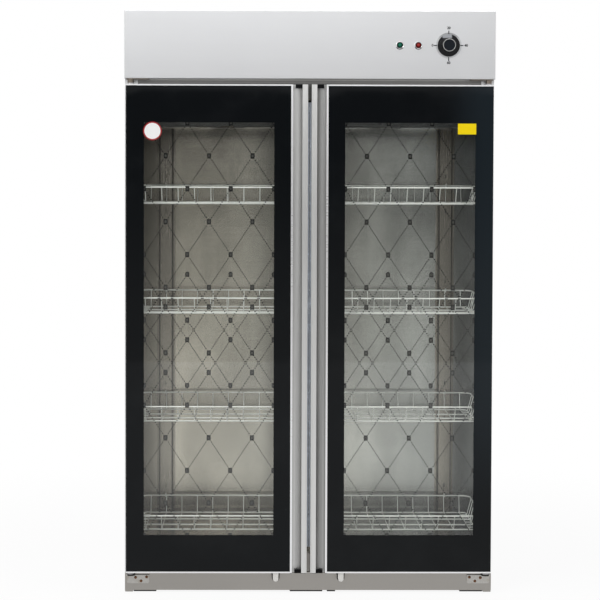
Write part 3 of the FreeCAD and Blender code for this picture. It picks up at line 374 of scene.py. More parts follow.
def scoop_shadow(finish):
    """Painted shade in the depth of the finger scoop, heavier on the right door, and in its crease
    at the grip.
    """
    across = abs(finish.along("X"))
    back = finish.along("Y")
    right_door = finish.along("X") > 0
    deep = finish.ramp(back, FRONT + 0.0008, FRONT + 0.0040) * (0.48 + right_door * 0.67)
    crease = finish.ramp(across, 0.0270, 0.0240) * finish.ramp(back, FRONT + 0.0006, FRONT + 0.0020)
    return deep * (0.12 + finish.ramp(across, 0.030, 0.054) * 0.34) + crease * 0.45


def post_edge_shade(finish):
    """Painted shade at both folded edges of a rear upright, and a slight darkening all over."""
    away = abs(abs(finish.along("X")) - POST_X)
    return finish.ramp(away, 0.0188, 0.0206) * (1 - finish.ramp(away, 0.0234, 0.0254)) * 0.80 + 0.14


def lintel_shade(finish):
    """Painted shade over the doors, more so close to them, clear under the header."""
    up = finish.along("Z")
    return (1 - finish.ramp(up, *LINTEL_LIT)) * 0.66 + (1 - finish.ramp(up, *LINTEL_DARK)) * 0.2


def skirt_painted_highlight(finish):
    """Painted highlight along the upper edge of the knob's skirt."""
    across = finish.along("X") - PAINTED_HIGHLIGHT_X
    up = finish.along("Z") - PAINTED_HIGHLIGHT_Z
    high = finish.ramp(up, 0.0225, 0.0255) * (1 - finish.ramp(abs(across), 0.013, 0.017))
    return high * finish.ramp(finish.along("Y"), FRONT - 0.0150, FRONT - 0.0120) * 0.9


def dial_shade(finish):
    """The knob's soft shade on the plate behind it."""
    return finish.ramp(finish.along("Z"), *DIAL_HEIGHTS) * 0.45


def bracket_gap_shade(finish):
    """Painted shade along the top of the lower hinge plates, under the door's foot."""
    high = finish.ramp(finish.along("Z"), *GAP_HEIGHTS)
    return high * finish.ramp(abs(finish.along("X")), *GAP_ENDS) * 0.95


OUTER_STEEL = brushed_metal("outer_steel", (0.575, 0.58, 0.59), 0.36, "X", depth=6e-6,
                            contrast=0.035)
SIDE_STEEL = brushed_metal("side_steel", (0.64, 0.645, 0.65), 0.34, "Z", depth=0.000015)
# The plinth, sill and feet take a darker copy of the body steel: painted shade for the floor's
# shadow that they mirror.
PLINTH_SHADED_STEEL = brushed_metal("plinth_steel", (0.33, 0.315, 0.295), 0.33, "X", depth=0.00002)
INNER_STEEL = polished_sheet("inner_steel", (0.545, 0.505, 0.44), (0.505, 0.51, 0.495), 0.22, "X")
# The side liners take a near-black copy of the lining steel: painted shade, with its painted
# reflection tint warm on the left and cool on the right.
SIDE_LINER_SHADE = polished_sheet("side_liner_painted_shade", (0.068, 0.060, 0.051), (0.080, 0.094, 0.113), 0.24,
                            "Z")
POST_STEEL = brushed_metal("post_steel", (0.42, 0.385, 0.34), 0.24, "Z", depth=3e-6,
                           shadow=post_edge_shade)
# The duct takes a near-black copy of the steel: painted shade under the ceiling.
DUCT_SHADED_STEEL = brushed_metal("duct_steel_painted_shade", (0.125, 0.127, 0.128), 0.26, "X", depth=8e-6)
DIAL_STEEL = brushed_metal("dial_steel", (0.45, 0.455, 0.465), 0.36, "X", depth=6e-6,
                           contrast=0.03, shadow=dial_shade)
FAN_STEEL = brushed_metal("fan_steel", (0.50, 0.49, 0.47), 0.3, "X")
LINTEL_STEEL = brushed_metal("lintel_steel", (0.46, 0.455, 0.44), 0.4, "X", shadow=lintel_shade)
DOOR_ALUMINIUM = brushed_metal("door_aluminium", (0.66, 0.66, 0.65), 0.34, "Z", contrast=0.04)
HANDLE_ALUMINIUM = brushed_metal("handle_aluminium", (0.66, 0.66, 0.65), 0.34, "Z", contrast=0.04,
                                 shadow=scoop_shadow)
TRIM_ALUMINIUM = brushed_metal("trim_aluminium", (0.86, 0.86, 0.87), 0.30, "X", contrast=0.03)
CHROME = chrome("chrome_wire", (0.98, 0.98, 0.95), 0.18, metallic=0.2)
BEZEL_SHADE = chrome("bezel_shade", (0.045, 0.045, 0.045), 0.15)
BEZEL_CHROME = chrome("bezel_chrome", (0.86, 0.86, 0.86), 0.08)
ZINC = zinc_plate("zinc_plate")
HOOK_STEEL = zinc_plate("hook_steel", (0.62, 0.62, 0.60))
LOWER_HINGE_ZINC = zinc_plate("lower_hinge_zinc", (0.40, 0.39, 0.37), bracket_gap_shade)
UPPER_HINGE_ZINC = zinc_plate("upper_hinge_zinc", (0.15, 0.13, 0.11))
BLACK_PLASTIC = moulded_plastic("black_plastic", (0.004, 0.004, 0.0045), 0.42, specular=0.06)
KNOB_GLOSS = moulded_plastic("knob_gloss", (0.005, 0.005, 0.006), 0.22, specular=0.16,
                             painted_highlight=skirt_painted_highlight)
KNOB_CAP = moulded_plastic("knob_cap", (0.007, 0.009, 0.013), 0.5, grain=1400, depth=0.0001,
                           specular=0.1)
WHITE_NYLON = moulded_plastic("white_nylon", (0.72, 0.71, 0.68), 0.38)
GREY_NYLON = moulded_plastic("grey_nylon", (0.42, 0.41, 0.42), 0.4)
TIMER_CASE = moulded_plastic("timer_case", (0.42, 0.38, 0.30), 0.5)
GASKET_RUBBER = rubber("gasket_rubber", (0.20, 0.21, 0.22))
SEAL_SILICONE = rubber("seal_silicone", (0.63, 0.69, 0.78), 0.45)
PAD_RUBBER = rubber("pad_rubber", (0.018, 0.018, 0.018))
WINDOW_GLASS = clear_glass("window_glass", (0.975, 0.985, 0.975))
BLACK_BORDER = black_print("black_border")
GREEN_LENS = lamp_lens("green_lens", (0.016, 0.155, 0.095), (0.0012, 0.030, 0.018))
RED_LENS = lamp_lens("red_lens", (0.33, 0.030, 0.025), (0.060, 0.002, 0.002))
WOOL = mineral_wool("mineral_wool")
DIAL_INK = printed_film("dial_ink", (0.004, 0.004, 0.005), specular=0.08)
LATTICE_INK = printed_film("lattice_ink", (0.004, 0.004, 0.004), 0.6, 0.1)
LATTICE_HEART = printed_film("lattice_heart", (0.060, 0.058, 0.054), 0.6, 0.1)
LABEL_WHITE = printed_film("label_white", (0.80, 0.80, 0.79))
LABEL_RED = printed_film("label_red", (0.30, 0.016, 0.018))
LABEL_YELLOW = printed_film("label_yellow", (0.86, 0.64, 0.004), specular=0.1)
SCREW_BROWN = rusted_screw("screw_brown")
UV_GLASS = milky_glass("uv_glass")

NODE_FINISHES = (          # a star stands for the side of a door
    (SIDE_STEEL, "left_side_panel right_side_panel back_panel"),
    (OUTER_STEEL, "top_panel header_fascia"),
    (LINTEL_STEEL, "front_lintel"),
    (PLINTH_SHADED_STEEL, "front_sill plinth feet"),
    (ZINC, "base_pan fan_motors"),
    (PAD_RUBBER, "rubber_pads"),
    (SIDE_LINER_SHADE, "side_liners"),
    (INNER_STEEL, "back_liner ceiling_liner floor_liner"),
    (WOOL, "insulation"),
    (POST_STEEL, "rear_posts"),
    (HOOK_STEEL, "shelf_hooks hinge_pins timer_shaft"),
    (LOWER_HINGE_ZINC, "bottom_hinge_brackets"),
    (UPPER_HINGE_ZINC, "top_hinge_brackets"),
    (DUCT_SHADED_STEEL, "duct_housing"),
    (FAN_STEEL, "heater_element left_fan_rotor right_fan_rotor"),
    (UV_GLASS, "uv_lamp"),
    (WHITE_NYLON, "uv_lamp_holders terminal_block"),
    (BLACK_PLASTIC, "thermostat cable_gland *_door_end_caps"),
    (TIMER_CASE, "timer_body"),
    (DOOR_ALUMINIUM, "*_door_outer_stile"),
    (TRIM_ALUMINIUM, "*_door_rails"),
    (GASKET_RUBBER, "*_door_gasket"),
    (SEAL_SILICONE, "*_door_seal_strip"),
    (GREY_NYLON, "*_door_hinge_bushes"),
)
for material, names in NODE_FINISHES:
    for name in names.split():
        for node_name in sorted({name.replace("*", side) for side in SIDES}):
            node = nodes[node_name]
            node.data.materials.clear()
            node.data.materials.append(material)


# ---- making pieces ----
def linked(name, data):
    """A new object in the scene."""
    made = bpy.data.objects.new(name, data)
    bpy.context.scene.collection.objects.link(made)
    return made


def baked(bm, name, *materials):
    """Close a bmesh into a mesh with its faces turned outwards."""
    bmesh.ops.recalc_face_normals(bm, faces=bm.faces)
    mesh = bpy.data.meshes.new(name)
    bm.to_mesh(mesh)
    bm.free()
    for material in materials:
        mesh.materials.append(material)
    return mesh


def piece(name, bm, body, materials, replaces=(), sharp=30):
    """Turn a bmesh into a piece that rides on a body, shaded smooth under the sharp angle."""
    mesh = baked(bm, name, *materials)
    made = linked(name, mesh)
    mesh.shade_smooth()
    mesh.set_sharp_from_angle(angle=math.radians(sharp))
    weighted = made.modifiers.new("flat_faces_stay_flat", "WEIGHTED_NORMAL")
    weighted.keep_sharp = True
    weighted.weight = 100
    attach(made, body)
    if replaces:
        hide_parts(*replaces)


def arc(centre, radius, start, end, steps):
    """Points of a circular arc in a plane, from one angle in degrees to another."""
    x, y = centre
    angles = [math.radians(start + (end - start) * index / steps) for index in range(steps + 1)]
    return [(x + radius * math.cos(angle), y + radius * math.sin(angle)) for angle in angles]


def extruded(outline, travel):
    """A bmesh of a closed outline of 3-D points pushed along a vector."""
    bm = bmesh.new()
    face = bm.faces.new([bm.verts.new(point) for point in outline])
    grown = bmesh.ops.extrude_face_region(bm, geom=[face], use_keep_orig=True)
    moved = [item for item in grown["geom"] if isinstance(item, bmesh.types.BMVert)]
    bmesh.ops.translate(bm, verts=moved, vec=travel)
    return bm


def turned(profile, place, steps=72):
    """A bmesh of a profile of (radius, depth) spun about an axis that runs to the front."""
    bm = bmesh.new()
    spun = [bm.verts.new(place + Vector((radius, depth, 0))) for radius, depth in profile]
    edges = [bm.edges.new(pair) for pair in zip(spun, spun[1:])]
    bmesh.ops.spin(bm, geom=[*spun, *edges], cent=place, axis=(0, 1, 0), angle=math.tau,
                   steps=steps, use_merge=True)
    bmesh.ops.remove_doubles(bm, verts=bm.verts, dist=0.00001)
    return bm


def rounded(bm, edges, offset, segments):
    """Round some edges of a bmesh."""
    bmesh.ops.bevel(bm, geom=edges, offset=offset, segments=segments, affect="EDGES", profile=0.5,
                    material=-1)


def slab(bm, low, high, bevel=0.0, segments=2):
    """A box between two corners, with its edges rounded."""
    size = high - low
    place = Matrix.Translation((low + high) / 2) @ Matrix.Diagonal((*size, 1))
    made = bmesh.ops.create_cube(bm, size=1, matrix=place)
    if bevel:
        edges = list({edge for vert in made["verts"] for edge in vert.link_edges})
        rounded(bm, edges, bevel, segments)


def standing(place, direction):
    """Matrix that takes the origin to place and turns +Z to a direction."""
    turn = Vector(direction).to_track_quat("Z", "Y").to_matrix().to_4x4()
    return Matrix.Translation(place) @ turn


def disc(bm, place, radius, thickness, direction, sides, material=0, tall=1.0):
    """A thin round plate that stands on a surface at place, oval if tall isn't 1."""
    middle = Vector(place) + Vector(direction) * thickness / 2
    matrix = standing(middle, direction) @ Matrix.Diagonal((1, tall, 1, 1))
    made = bmesh.ops.create_cone(bm, cap_ends=True, segments=sides, radius1=radius, radius2=radius,
                                 depth=thickness, matrix=matrix)
    for face in {face for vert in made["verts"] for face in vert.link_faces}:
        face.material_index = material


def bridged(bm, below, above):
    """New faces between two rings that have as many points."""
    corners = zip(below, [*below[1:], below[0]], [*above[1:], above[0]], above)
    return [bm.faces.new(four) for four in corners]


def absorb(bm, curve, matrix):
    """Add the surface of a curve or a text to a bmesh, and drop the curve."""
    holder = bpy.data.objects.new(curve.name, curve)
    mesh = bpy.data.meshes.new_from_object(holder)
    mesh.transform(matrix)
    bm.from_mesh(mesh)
    bpy.data.objects.remove(holder)
    bpy.data.curves.remove(curve)
    bpy.data.meshes.remove(mesh)


def rounded_path(corners, radius, closed=False, steps=5):
    """Points along straight runs joined by arcs of one radius at the corners."""
    count = len(corners)
    points = []
    for index, corner in enumerate(corners):
        if not closed and index in (0, count - 1):
            points.append(corner)
            continue
        before = (corners[index - 1] - corner).normalized()
        after = (corners[(index + 1) % count] - corner).normalized()
        half = before.angle(after) / 2
        middle = corner + (before + after).normalized() * (radius / math.sin(half))
        start = corner + before * (radius / math.tan(half))
        end = corner + after * (radius / math.tan(half))
        for step in range(steps + 1):
            spread = (start - middle).lerp(end - middle, step / steps)
            points.append(middle + spread.normalized() * radius)
    return points


def wires(runs):
    """Round wires from runs of (points, diameter, closed)."""
    joined = bmesh.new()
    for diameter in sorted({run[1] for run in runs}):
        curve = bpy.data.curves.new("wire", "CURVE")
        curve.dimensions = "3D"
        curve.bevel_depth = diameter / 2
        curve.bevel_resolution = 2
        curve.use_fill_caps = True
        for points, _, closed in [run for run in runs if run[1] == diameter]:
            spline = curve.splines.new("POLY")
            spline.points.add(len(points) - 1)
            for vertex, point in zip(spline.points, points):
                vertex.co = (*point, 1)
            spline.use_cyclic_u = closed
        absorb(joined, curve, Matrix.Identity(4))
    return joined


def spaced(count, pitch):
    """Places at one pitch about nought."""
    return [(index - (count - 1) / 2) * pitch for index in range(count)]


# ---- wire baskets ----
BASKET_HALF_W = 0.556
BASKET_HALF_D = 0.184
FLARE = 0.015
FRONT_FLARE = 0.042
FRONT_FENCE = 0.051
BACK_FENCE = 0.057
RING_D = 0.0050
FRAME_D = 0.0046
WIRE_D = 0.0028
WIRE_PITCH = 0.0535
RING_CORNER = 0.038
FRAME_CORNER = 0.012
WIRE_BEND = 0.007
END_WIRE_REACH = 0.022    # how far an end's wires run in over the floor
STIFFENER_INSET = 0.004
WIRES_ACROSS = 21
WIRES_AT_END = 6
SHELF_HEIGHTS = (0.197, 0.556, 0.912, 1.274)
STIFFENER_Y = 0.060
RING_FRONT = -BASKET_HALF_D - FRONT_FLARE
RING_BACK = BASKET_HALF_D + FLARE


def ring_height(base, y):
    """Height of the top ring, which rises towards the back."""
    share = (y - RING_FRONT) / (RING_BACK - RING_FRONT)
    return base + FRONT_FENCE + share * (BACK_FENCE - FRONT_FENCE)


def oblong(half, front, back):
    """Corners of an oblong, from its front left one."""
    return (-half, front), (half, front), (half, back), (-half, back)


def wire_basket(number, base):
    """Bent wires from rim to rim, a heavier floor frame and rim, and two stiffeners below."""
    x_end, y_end = (BASKET_HALF_W, BASKET_HALF_D)
    x_rim = x_end + FLARE
    runs = []
    for x in spaced(WIRES_ACROSS, WIRE_PITCH):
        bent = [
            Vector((x, RING_FRONT, ring_height(base, RING_FRONT))), Vector((x, -y_end, base)),
            Vector((x, y_end, base)), Vector((x, RING_BACK, ring_height(base, RING_BACK))),
        ]
        runs.append((rounded_path(bent, WIRE_BEND), WIRE_D, False))
    for side in (LEFT, RIGHT):
        for y in spaced(WIRES_AT_END, WIRE_PITCH):
            top = Vector((side * x_rim, y, ring_height(base, y)))
            foot = Vector((side * x_end, y, base))
            inward = Vector((side * (x_end - END_WIRE_REACH), y, base))
            runs.append((rounded_path([top, foot, inward], WIRE_BEND), WIRE_D, False))
    rim = [Vector((x, y, ring_height(base, y))) for x, y in oblong(x_rim, RING_FRONT, RING_BACK)]
    runs.append((rounded_path(rim, RING_CORNER, True, 9), RING_D, True))
    floor = [Vector((x, y, base)) for x, y in oblong(x_end, -y_end, y_end)]
    runs.append((rounded_path(floor, FRAME_CORNER, True), FRAME_D, True))
    under = base - (FRAME_D + WIRE_D) / 2
    for y in (-STIFFENER_Y, STIFFENER_Y):
        ends = [Vector((side * (x_end - STIFFENER_INSET), y, under)) for side in (LEFT, RIGHT)]
        runs.append((ends, FRAME_D, False))
    piece(f"wire_basket_{number}", wires(runs), f"shelf_{number}", [CHROME],
          [f"shelf_{number}_basket"], sharp=60)


for number, height in enumerate(SHELF_HEIGHTS, start=1):
    wire_basket(number, height)


# ---- doors ----
PANE_ROUND = 0.0008


def door_pane(side, sign):
    """Toughened pane: a black fired border all round a clear window."""
    bm = bmesh.new()
    near, far = sorted((sign * GLASS_LOW.x, sign * GLASS_HIGH.x))
    slab(bm, Vector((near, *GLASS_LOW.yz)), Vector((far, *GLASS_HIGH.yz)), PANE_ROUND)
    cuts = [((sign * WINDOW_IN, 0, 0), (1, 0, 0)), ((sign * WINDOW_OUT, 0, 0), (1, 0, 0)),
            ((0, 0, WINDOW_LOW), (0, 0, 1)), ((0, 0, WINDOW_HIGH), (0, 0, 1))]
    for place, normal in cuts:
        whole = [*bm.verts, *bm.edges, *bm.faces]
        bmesh.ops.bisect_plane(bm, geom=whole, plane_co=place, plane_no=normal)
    for face in bm.faces:
        middle = face.calc_center_median()
        clear = WINDOW_IN < abs(middle.x) < WINDOW_OUT and WINDOW_LOW < middle.z < WINDOW_HIGH
        face.material_index = 0 if clear else 1
    piece(f"{side}_door_pane", bm, f"{side}_door",
          [WINDOW_GLASS, BLACK_BORDER], [f"{side}_door_glass"])


LATTICE_ACROSS = 3        # diamonds across a window
LATTICE_DOWN = 4          # diamonds down one lattice
LATTICE_TALL = 0.2132     # height of a diamond
LATTICE_DROP = 0.0020     # the print sits this much low on the pane
DOTS_PER_EDGE = 15
DOT_R = 0.0022
KNOT_R = 0.0070
KNOT_TALL = 1.25          # height of a knot for its width
HEART_SHARE = 0.55        # size of its pale heart for its own
FILM = 0.00012            # thickness of the print


def door_lattice(side, sign):
    """Two overlapping diamond lattices printed as dots on the back of the window."""
    bm = bmesh.new()
    pitch = (WINDOW_OUT - WINDOW_IN) / LATTICE_ACROSS
    y = GLASS_HIGH.y + FILM / 4
    reach = LATTICE_DOWN * LATTICE_TALL
    for top in (WINDOW_HIGH - LATTICE_DROP, WINDOW_LOW + reach - LATTICE_DROP):
        centres = [(column, row) for column in range(LATTICE_ACROSS) for row in range(LATTICE_DOWN)]
        knots = {(column + 0.5, row + 0.5) for column, row in centres}
        for column, row in centres:
            heart = (column + 0.5, row + 0.5)
            for tip in ((column, row), (column + 1, row), (column, row + 1), (column + 1, row + 1)):
                knots.add(tip)
                for step in range(1, DOTS_PER_EDGE):
                    share = step / DOTS_PER_EDGE
                    across = heart[0] + (tip[0] - heart[0]) * share
                    down = heart[1] + (tip[1] - heart[1]) * share
                    x = sign * (WINDOW_IN + across * pitch)
                    disc(bm, (x, y, top - down * LATTICE_TALL), DOT_R, FILM, (0, 1, 0), 8)
        for across, down in sorted(knots):
            x = sign * (WINDOW_IN + across * pitch)
            z = top - down * LATTICE_TALL
            disc(bm, (x, y + FILM, z), KNOT_R, FILM, (0, 1, 0), 18, tall=KNOT_TALL)
            disc(bm, (x, y, z), KNOT_R * HEART_SHARE, FILM / 2, (0, 1, 0), 14, 1, KNOT_TALL)
    piece(f"{side}_door_lattice", bm, f"{side}_door",
          [LATTICE_INK, LATTICE_HEART])


TRIM_INNER = 0.0540
TRIM_OUTER = 0.0604
GRIP_EDGE = 0.0239
MEETING_EDGE = 0.0057
HANDLE_BACK = 0.090
GLASS_SEAT = GLASS_HIGH.y
SCOOP_FLOOR = DOOR_BACK - 0.009
SCOOP_FOOT = 0.046
POCKET_X = 0.057
FOOT_PLATE_T = 0.0012
LIP_T = 0.004
EDGE_ROUND = 0.0012       # rounding of the meeting edge, then of the grip, pocket and bead
GRIP_ROUND = 0.0006
POCKET_ROUND = 0.002
BEAD_ROUND = 0.0008
BEAD_FOOT_ROUND = 0.0005
GROOVE_D = 0.0006         # depth of the grip's groove


def circle_through(first, middle, last):
    """Centre and radius of the circle through three points of a plane."""
    a, b, c = (complex(*point) for point in (first, middle, last))
    share = (c - a) / (b - a)
    centre = a + (b - a) * (share - abs(share) ** 2) / (2j * share.imag)
    return (centre.real, centre.imag), abs(centre - a)


def scoop_points():
    """The finger scoop's curve, from the grip strip to the floor of its pocket."""
    start = (GRIP_EDGE, FRONT)
    bend = (GRIP_EDGE + 0.0085, FRONT + 0.0125)
    foot = (SCOOP_FOOT, SCOOP_FLOOR)
    centre, radius = circle_through(start, bend, foot)
    angles = [math.degrees(math.atan2(y - centre[1], x - centre[0])) for x, y in (start, foot)]
    turn = (angles[1] - angles[0] + 180) % 360 - 180
    return arc(centre, radius, angles[0], angles[0] + turn, 14)


def corner(x, y, radius, to_x, to_y, start, end, steps):
    """Arc that rounds the corner at x, y, with its centre to_x and to_y radii away."""
    return arc((x + to_x * radius, y + to_y * radius), radius, start, end, steps)


def handle_outline():
    """Section of the meeting stile: a grooved grip strip, a finger scoop and the glass rebate."""
    groove = [(0.0035, 0), (0.0041, GROOVE_D), (0.0053, GROOVE_D), (0.0059, 0)]
    return [
        (MEETING_EDGE, DOOR_BACK),
        *corner(MEETING_EDGE, FRONT, EDGE_ROUND, 1, 1, 180, 270, 4),
        *[(MEETING_EDGE + across, FRONT + depth) for across, depth in groove],
        *corner(GRIP_EDGE, FRONT, GRIP_ROUND, -1, 1, 270, 340, 3)[:-1],
        *scoop_points()[1:],
        *corner(POCKET_X, SCOOP_FLOOR, POCKET_ROUND, -1, -1, 90, 0, 4),
        (POCKET_X, FRONT + LIP_T),
        (TRIM_INNER, FRONT + LIP_T),
        *corner(TRIM_INNER, FRONT, BEAD_ROUND, 1, 1, 180, 270, 3),
        *corner(TRIM_OUTER, FRONT, BEAD_FOOT_ROUND, -1, 1, 270, 360, 2),
        (TRIM_OUTER, GLASS_SEAT),
        (HANDLE_BACK, GLASS_SEAT),
        (HANDLE_BACK, DOOR_BACK),
    ]


def handle_stile(side, sign):
    """Meeting stile with a brighter bead at the glass, and a thin black plate under it."""
    outline = handle_outline()
    bm = extruded([(sign * x, y, DOOR_LOW) for x, y in outline], (0, 0, DOOR_HIGH - DOOR_LOW))
    for face in bm.faces:
        middle = face.calc_center_median()
        if TRIM_INNER - 0.0002 < abs(middle.x) < TRIM_OUTER + 0.0001 and middle.y < FRONT + 0.003:
            face.material_index = 1
    piece(f"{side}_handle_stile", bm, f"{side}_door",
          [HANDLE_ALUMINIUM, TRIM_ALUMINIUM], [f"{side}_door_handle_stile"], sharp=25)
    foot = DOOR_LOW - FOOT_PLATE_T
    bm = extruded([(sign * x, y, foot) for x, y in outline], (0, 0, FOOT_PLATE_T))
    piece(f"{side}_handle_foot_plate", bm, f"{side}_door", [BLACK_PLASTIC])


CATCH_ROUND = 0.0016
KEEPER_OUTER = 0.0125
KEEPER_INNER = 0.0096
KEEPER_RISE = 0.012       # how far its sides rise above the middle of its round


def door_catch(side):
    """Nylon magnet case like a tongue, and its keeper, a black cup on the plinth whose rim also
    stands in for the shadow round the tongue.
    """
    low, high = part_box(f"{side}_door_catch")
    half = (high.x - low.x) / 2
    x = (low.x + high.x) / 2
    centre = (x, low.z + half)
    outline = [(x + half, high.z), (x - half, high.z), *arc(centre, half, 180, 360, 12)]
    bm = extruded([(u, low.y, v) for u, v in outline], (0, high.y - low.y, 0))
    rims = [e for e in bm.edges if abs(e.verts[0].co.y - e.verts[1].co.y) < 0.0001]
    rounded(bm, rims, CATCH_ROUND, 3)
    piece(f"{side}_catch_case", bm, f"{side}_door", [WHITE_NYLON],
          [f"{side}_door_catch"])

    top = centre[1] + KEEPER_RISE
    outline = [
        (x + KEEPER_OUTER, top), (x + KEEPER_INNER, top),
        *reversed(arc(centre, KEEPER_INNER, 180, 360, 12)),
        (x - KEEPER_INNER, top), (x - KEEPER_OUTER, top),
        *arc(centre, KEEPER_OUTER, 180, 360, 12),
    ]
    bm = extruded([(u, PLINTH_FRONT - 0.0008, v) for u, v in outline], (0, 0.0012, 0))
    # Black blocks beside the top of the catch: painted shadow, made as parts.
    for hand in (LEFT, RIGHT):
        near, far = sorted((x + hand * (KEEPER_INNER + 0.0002), x + hand * (KEEPER_OUTER + 0.0014)))
        slab(bm, Vector((near, PLINTH_FRONT - 0.0030, high.z - 0.010)),
             Vector((far, PLINTH_FRONT, high.z - 0.003)), 0.0006)
    piece(f"{side}_catch_keeper_and_shadow", bm, "cabinet", [BLACK_PLASTIC])


for side, sign in SIDES.items():
    door_pane(side, sign)
    door_lattice(side, sign)
    handle_stile(side, sign)
    door_catch(side)


# ---- controls ----
KNOB_LOW, KNOB_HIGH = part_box("timer_knob")
KNOB_AT = Vector(((KNOB_LOW.x + KNOB_HIGH.x) / 2, 0, (KNOB_LOW.z + KNOB_HIGH.z) / 2))
KNOB_TIP = KNOB_LOW.y
KNOB_BASE = KNOB_HIGH.y
KNOB_R = KNOB_HIGH.x - KNOB_AT.x


def measured(start, *profile):
    """A profile of (radius, depth) with its depths measured from start."""
    return [(radius, start + depth) for radius, depth in profile]


def timer_knob():
    """Glossy dished skirt with a waisted collar, a matt cap and a bright ring round it."""
    skirt = measured(KNOB_BASE, (0.0035, 0), (KNOB_R - 0.001, 0), (KNOB_R, -0.0008),
                     (KNOB_R, -0.0024), (KNOB_R - 0.0006, -0.0034), (KNOB_R - 0.003, -0.0052),
                     (0.0285, -0.0075), (0.0250, -0.0100), (0.0232, -0.0140))
    skirt += measured(KNOB_TIP, (0.0225, 0.0030), (0.0222, 0.0016), (0.0212, 0.0006),
                      (0.0204, 0.0004), (0.0203, 0.0020), (0.0035, 0.0020))
    piece("timer_knob_skirt", turned([*skirt, skirt[0]], KNOB_AT), "timer_knob",
          [KNOB_GLOSS], ["timer_knob"], sharp=35)
    cap = measured(KNOB_TIP, (0, 0.0019), (0.0188, 0.0019), (0.0188, 0.0006), (0.0180, 0),
                   (0.0120, 0.0003), (0, 0.0006))
    piece("timer_knob_cap", turned(cap, KNOB_AT), "timer_knob", [KNOB_CAP],
          sharp=35)
    ring = measured(KNOB_TIP, (0.0189, 0.0019), (0.0202, 0.0019), (0.0202, 0.0004),
                    (0.0199, 0.0001), (0.0192, 0.0001), (0.0189, 0.0004))
    piece("timer_knob_ring", turned([*ring, ring[0]], KNOB_AT), "timer_knob",
          [DOOR_ALUMINIUM], sharp=35)


DIAL_R = 0.0415
DIAL_HOLE_R = 0.010


def dial_ring():
    """Thin satin plate behind the knob, seen as a darker ring round it."""
    profile = measured(FRONT, (DIAL_HOLE_R, 0.0002), (DIAL_R, 0.0002), (DIAL_R, -0.0002),
                       (DIAL_R - 0.0009, -0.0005), (DIAL_HOLE_R, -0.0005))
    piece("dial_ring", turned([*profile, profile[0]], KNOB_AT), "cabinet",
          [DIAL_STEEL])


DIAL_MARKS = (            # number, way to the right and up, its tick's end, its own middle
    ("0", -1, 0, 0.0480, 0.0525), ("20", 0, 1, 0.0477, 0.0562),
    ("40", 1, 0, 0.0475, 0.0563), ("60", 0, -1, 0.0506, 0.0562))
TICK_START = KNOB_R + 0.0015
TICK_HALF = 0.0015
TICK_T = 0.0007
NUMERAL_H = 0.0080
NUMERAL_T = 0.0001        # half the numbers' thickness
NUMERAL_SWELL = 0.00042   # how much their strokes are thickened


def dial_marks():
    """Printed minute marks and their numbers round the knob."""
    bm = bmesh.new()
    for text, right, up, tick_end, distance in DIAL_MARKS:
        out = Vector((right, 0, up))
        across = Vector((abs(up), 0, abs(right))) * TICK_HALF
        ends = [KNOB_AT + out * reach + Vector((0, FRONT, 0)) for reach in (TICK_START, tick_end)]
        low = Vector([min(pair) for pair in zip(*ends)]) - across - Vector((0, TICK_T, 0))
        slab(bm, low, Vector([max(pair) for pair in zip(*ends)]) + across)
        curve = bpy.data.curves.new("numeral", "FONT")
        curve.body = text
        curve.size = NUMERAL_H * 1.4
        curve.align_x = curve.align_y = "CENTER"
        curve.extrude = NUMERAL_T
        curve.offset = NUMERAL_SWELL
        place = KNOB_AT + out * distance + Vector((0, FRONT - NUMERAL_T, 0))
        absorb(bm, curve, Matrix.Translation(place) @ Matrix.Rotation(math.pi / 2, 4, "X"))
    piece("dial_marks", bm, "cabinet", [DIAL_INK])


LENS_R = 0.0090
LENS_RISE = 0.0012        # height of the lens above the middle of its bezel
LENS_RIM = 0.0026         # how far its rim and its seat stand forward
LENS_SEAT = 0.0011
BEZEL_CREST = 0.0114      # radius of the bezel's crest
INNER_DARK = -0.36        # heights, in radii, at which the bezel's slopes turn to painted shade
OUTER_DARK = -0.42


def indicator(colour, lens_material):
    """Domed lens of an indicator lamp."""
    low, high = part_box(f"{colour}_lamp")
    place = Vector(((low.x + high.x) / 2, 0, (low.z + high.z) / 2))
    depth = FRONT - LENS_RIM - low.y
    bulge = (LENS_R * LENS_R + depth * depth) / (2 * depth)
    widest = math.asin(LENS_R / bulge)
    dome = [(bulge * math.sin(widest * step / 8), low.y + bulge * (1 - math.cos(widest * step / 8)))
            for step in range(9)]
    seat = FRONT - LENS_SEAT
    bm = turned([*dome, (LENS_R, seat), (0, seat)], place + Vector((0, 0, LENS_RISE)), 40)
    piece(f"{colour}_lens", bm, "cabinet", [lens_material], [f"{colour}_lamp"],
          sharp=50)
    return place


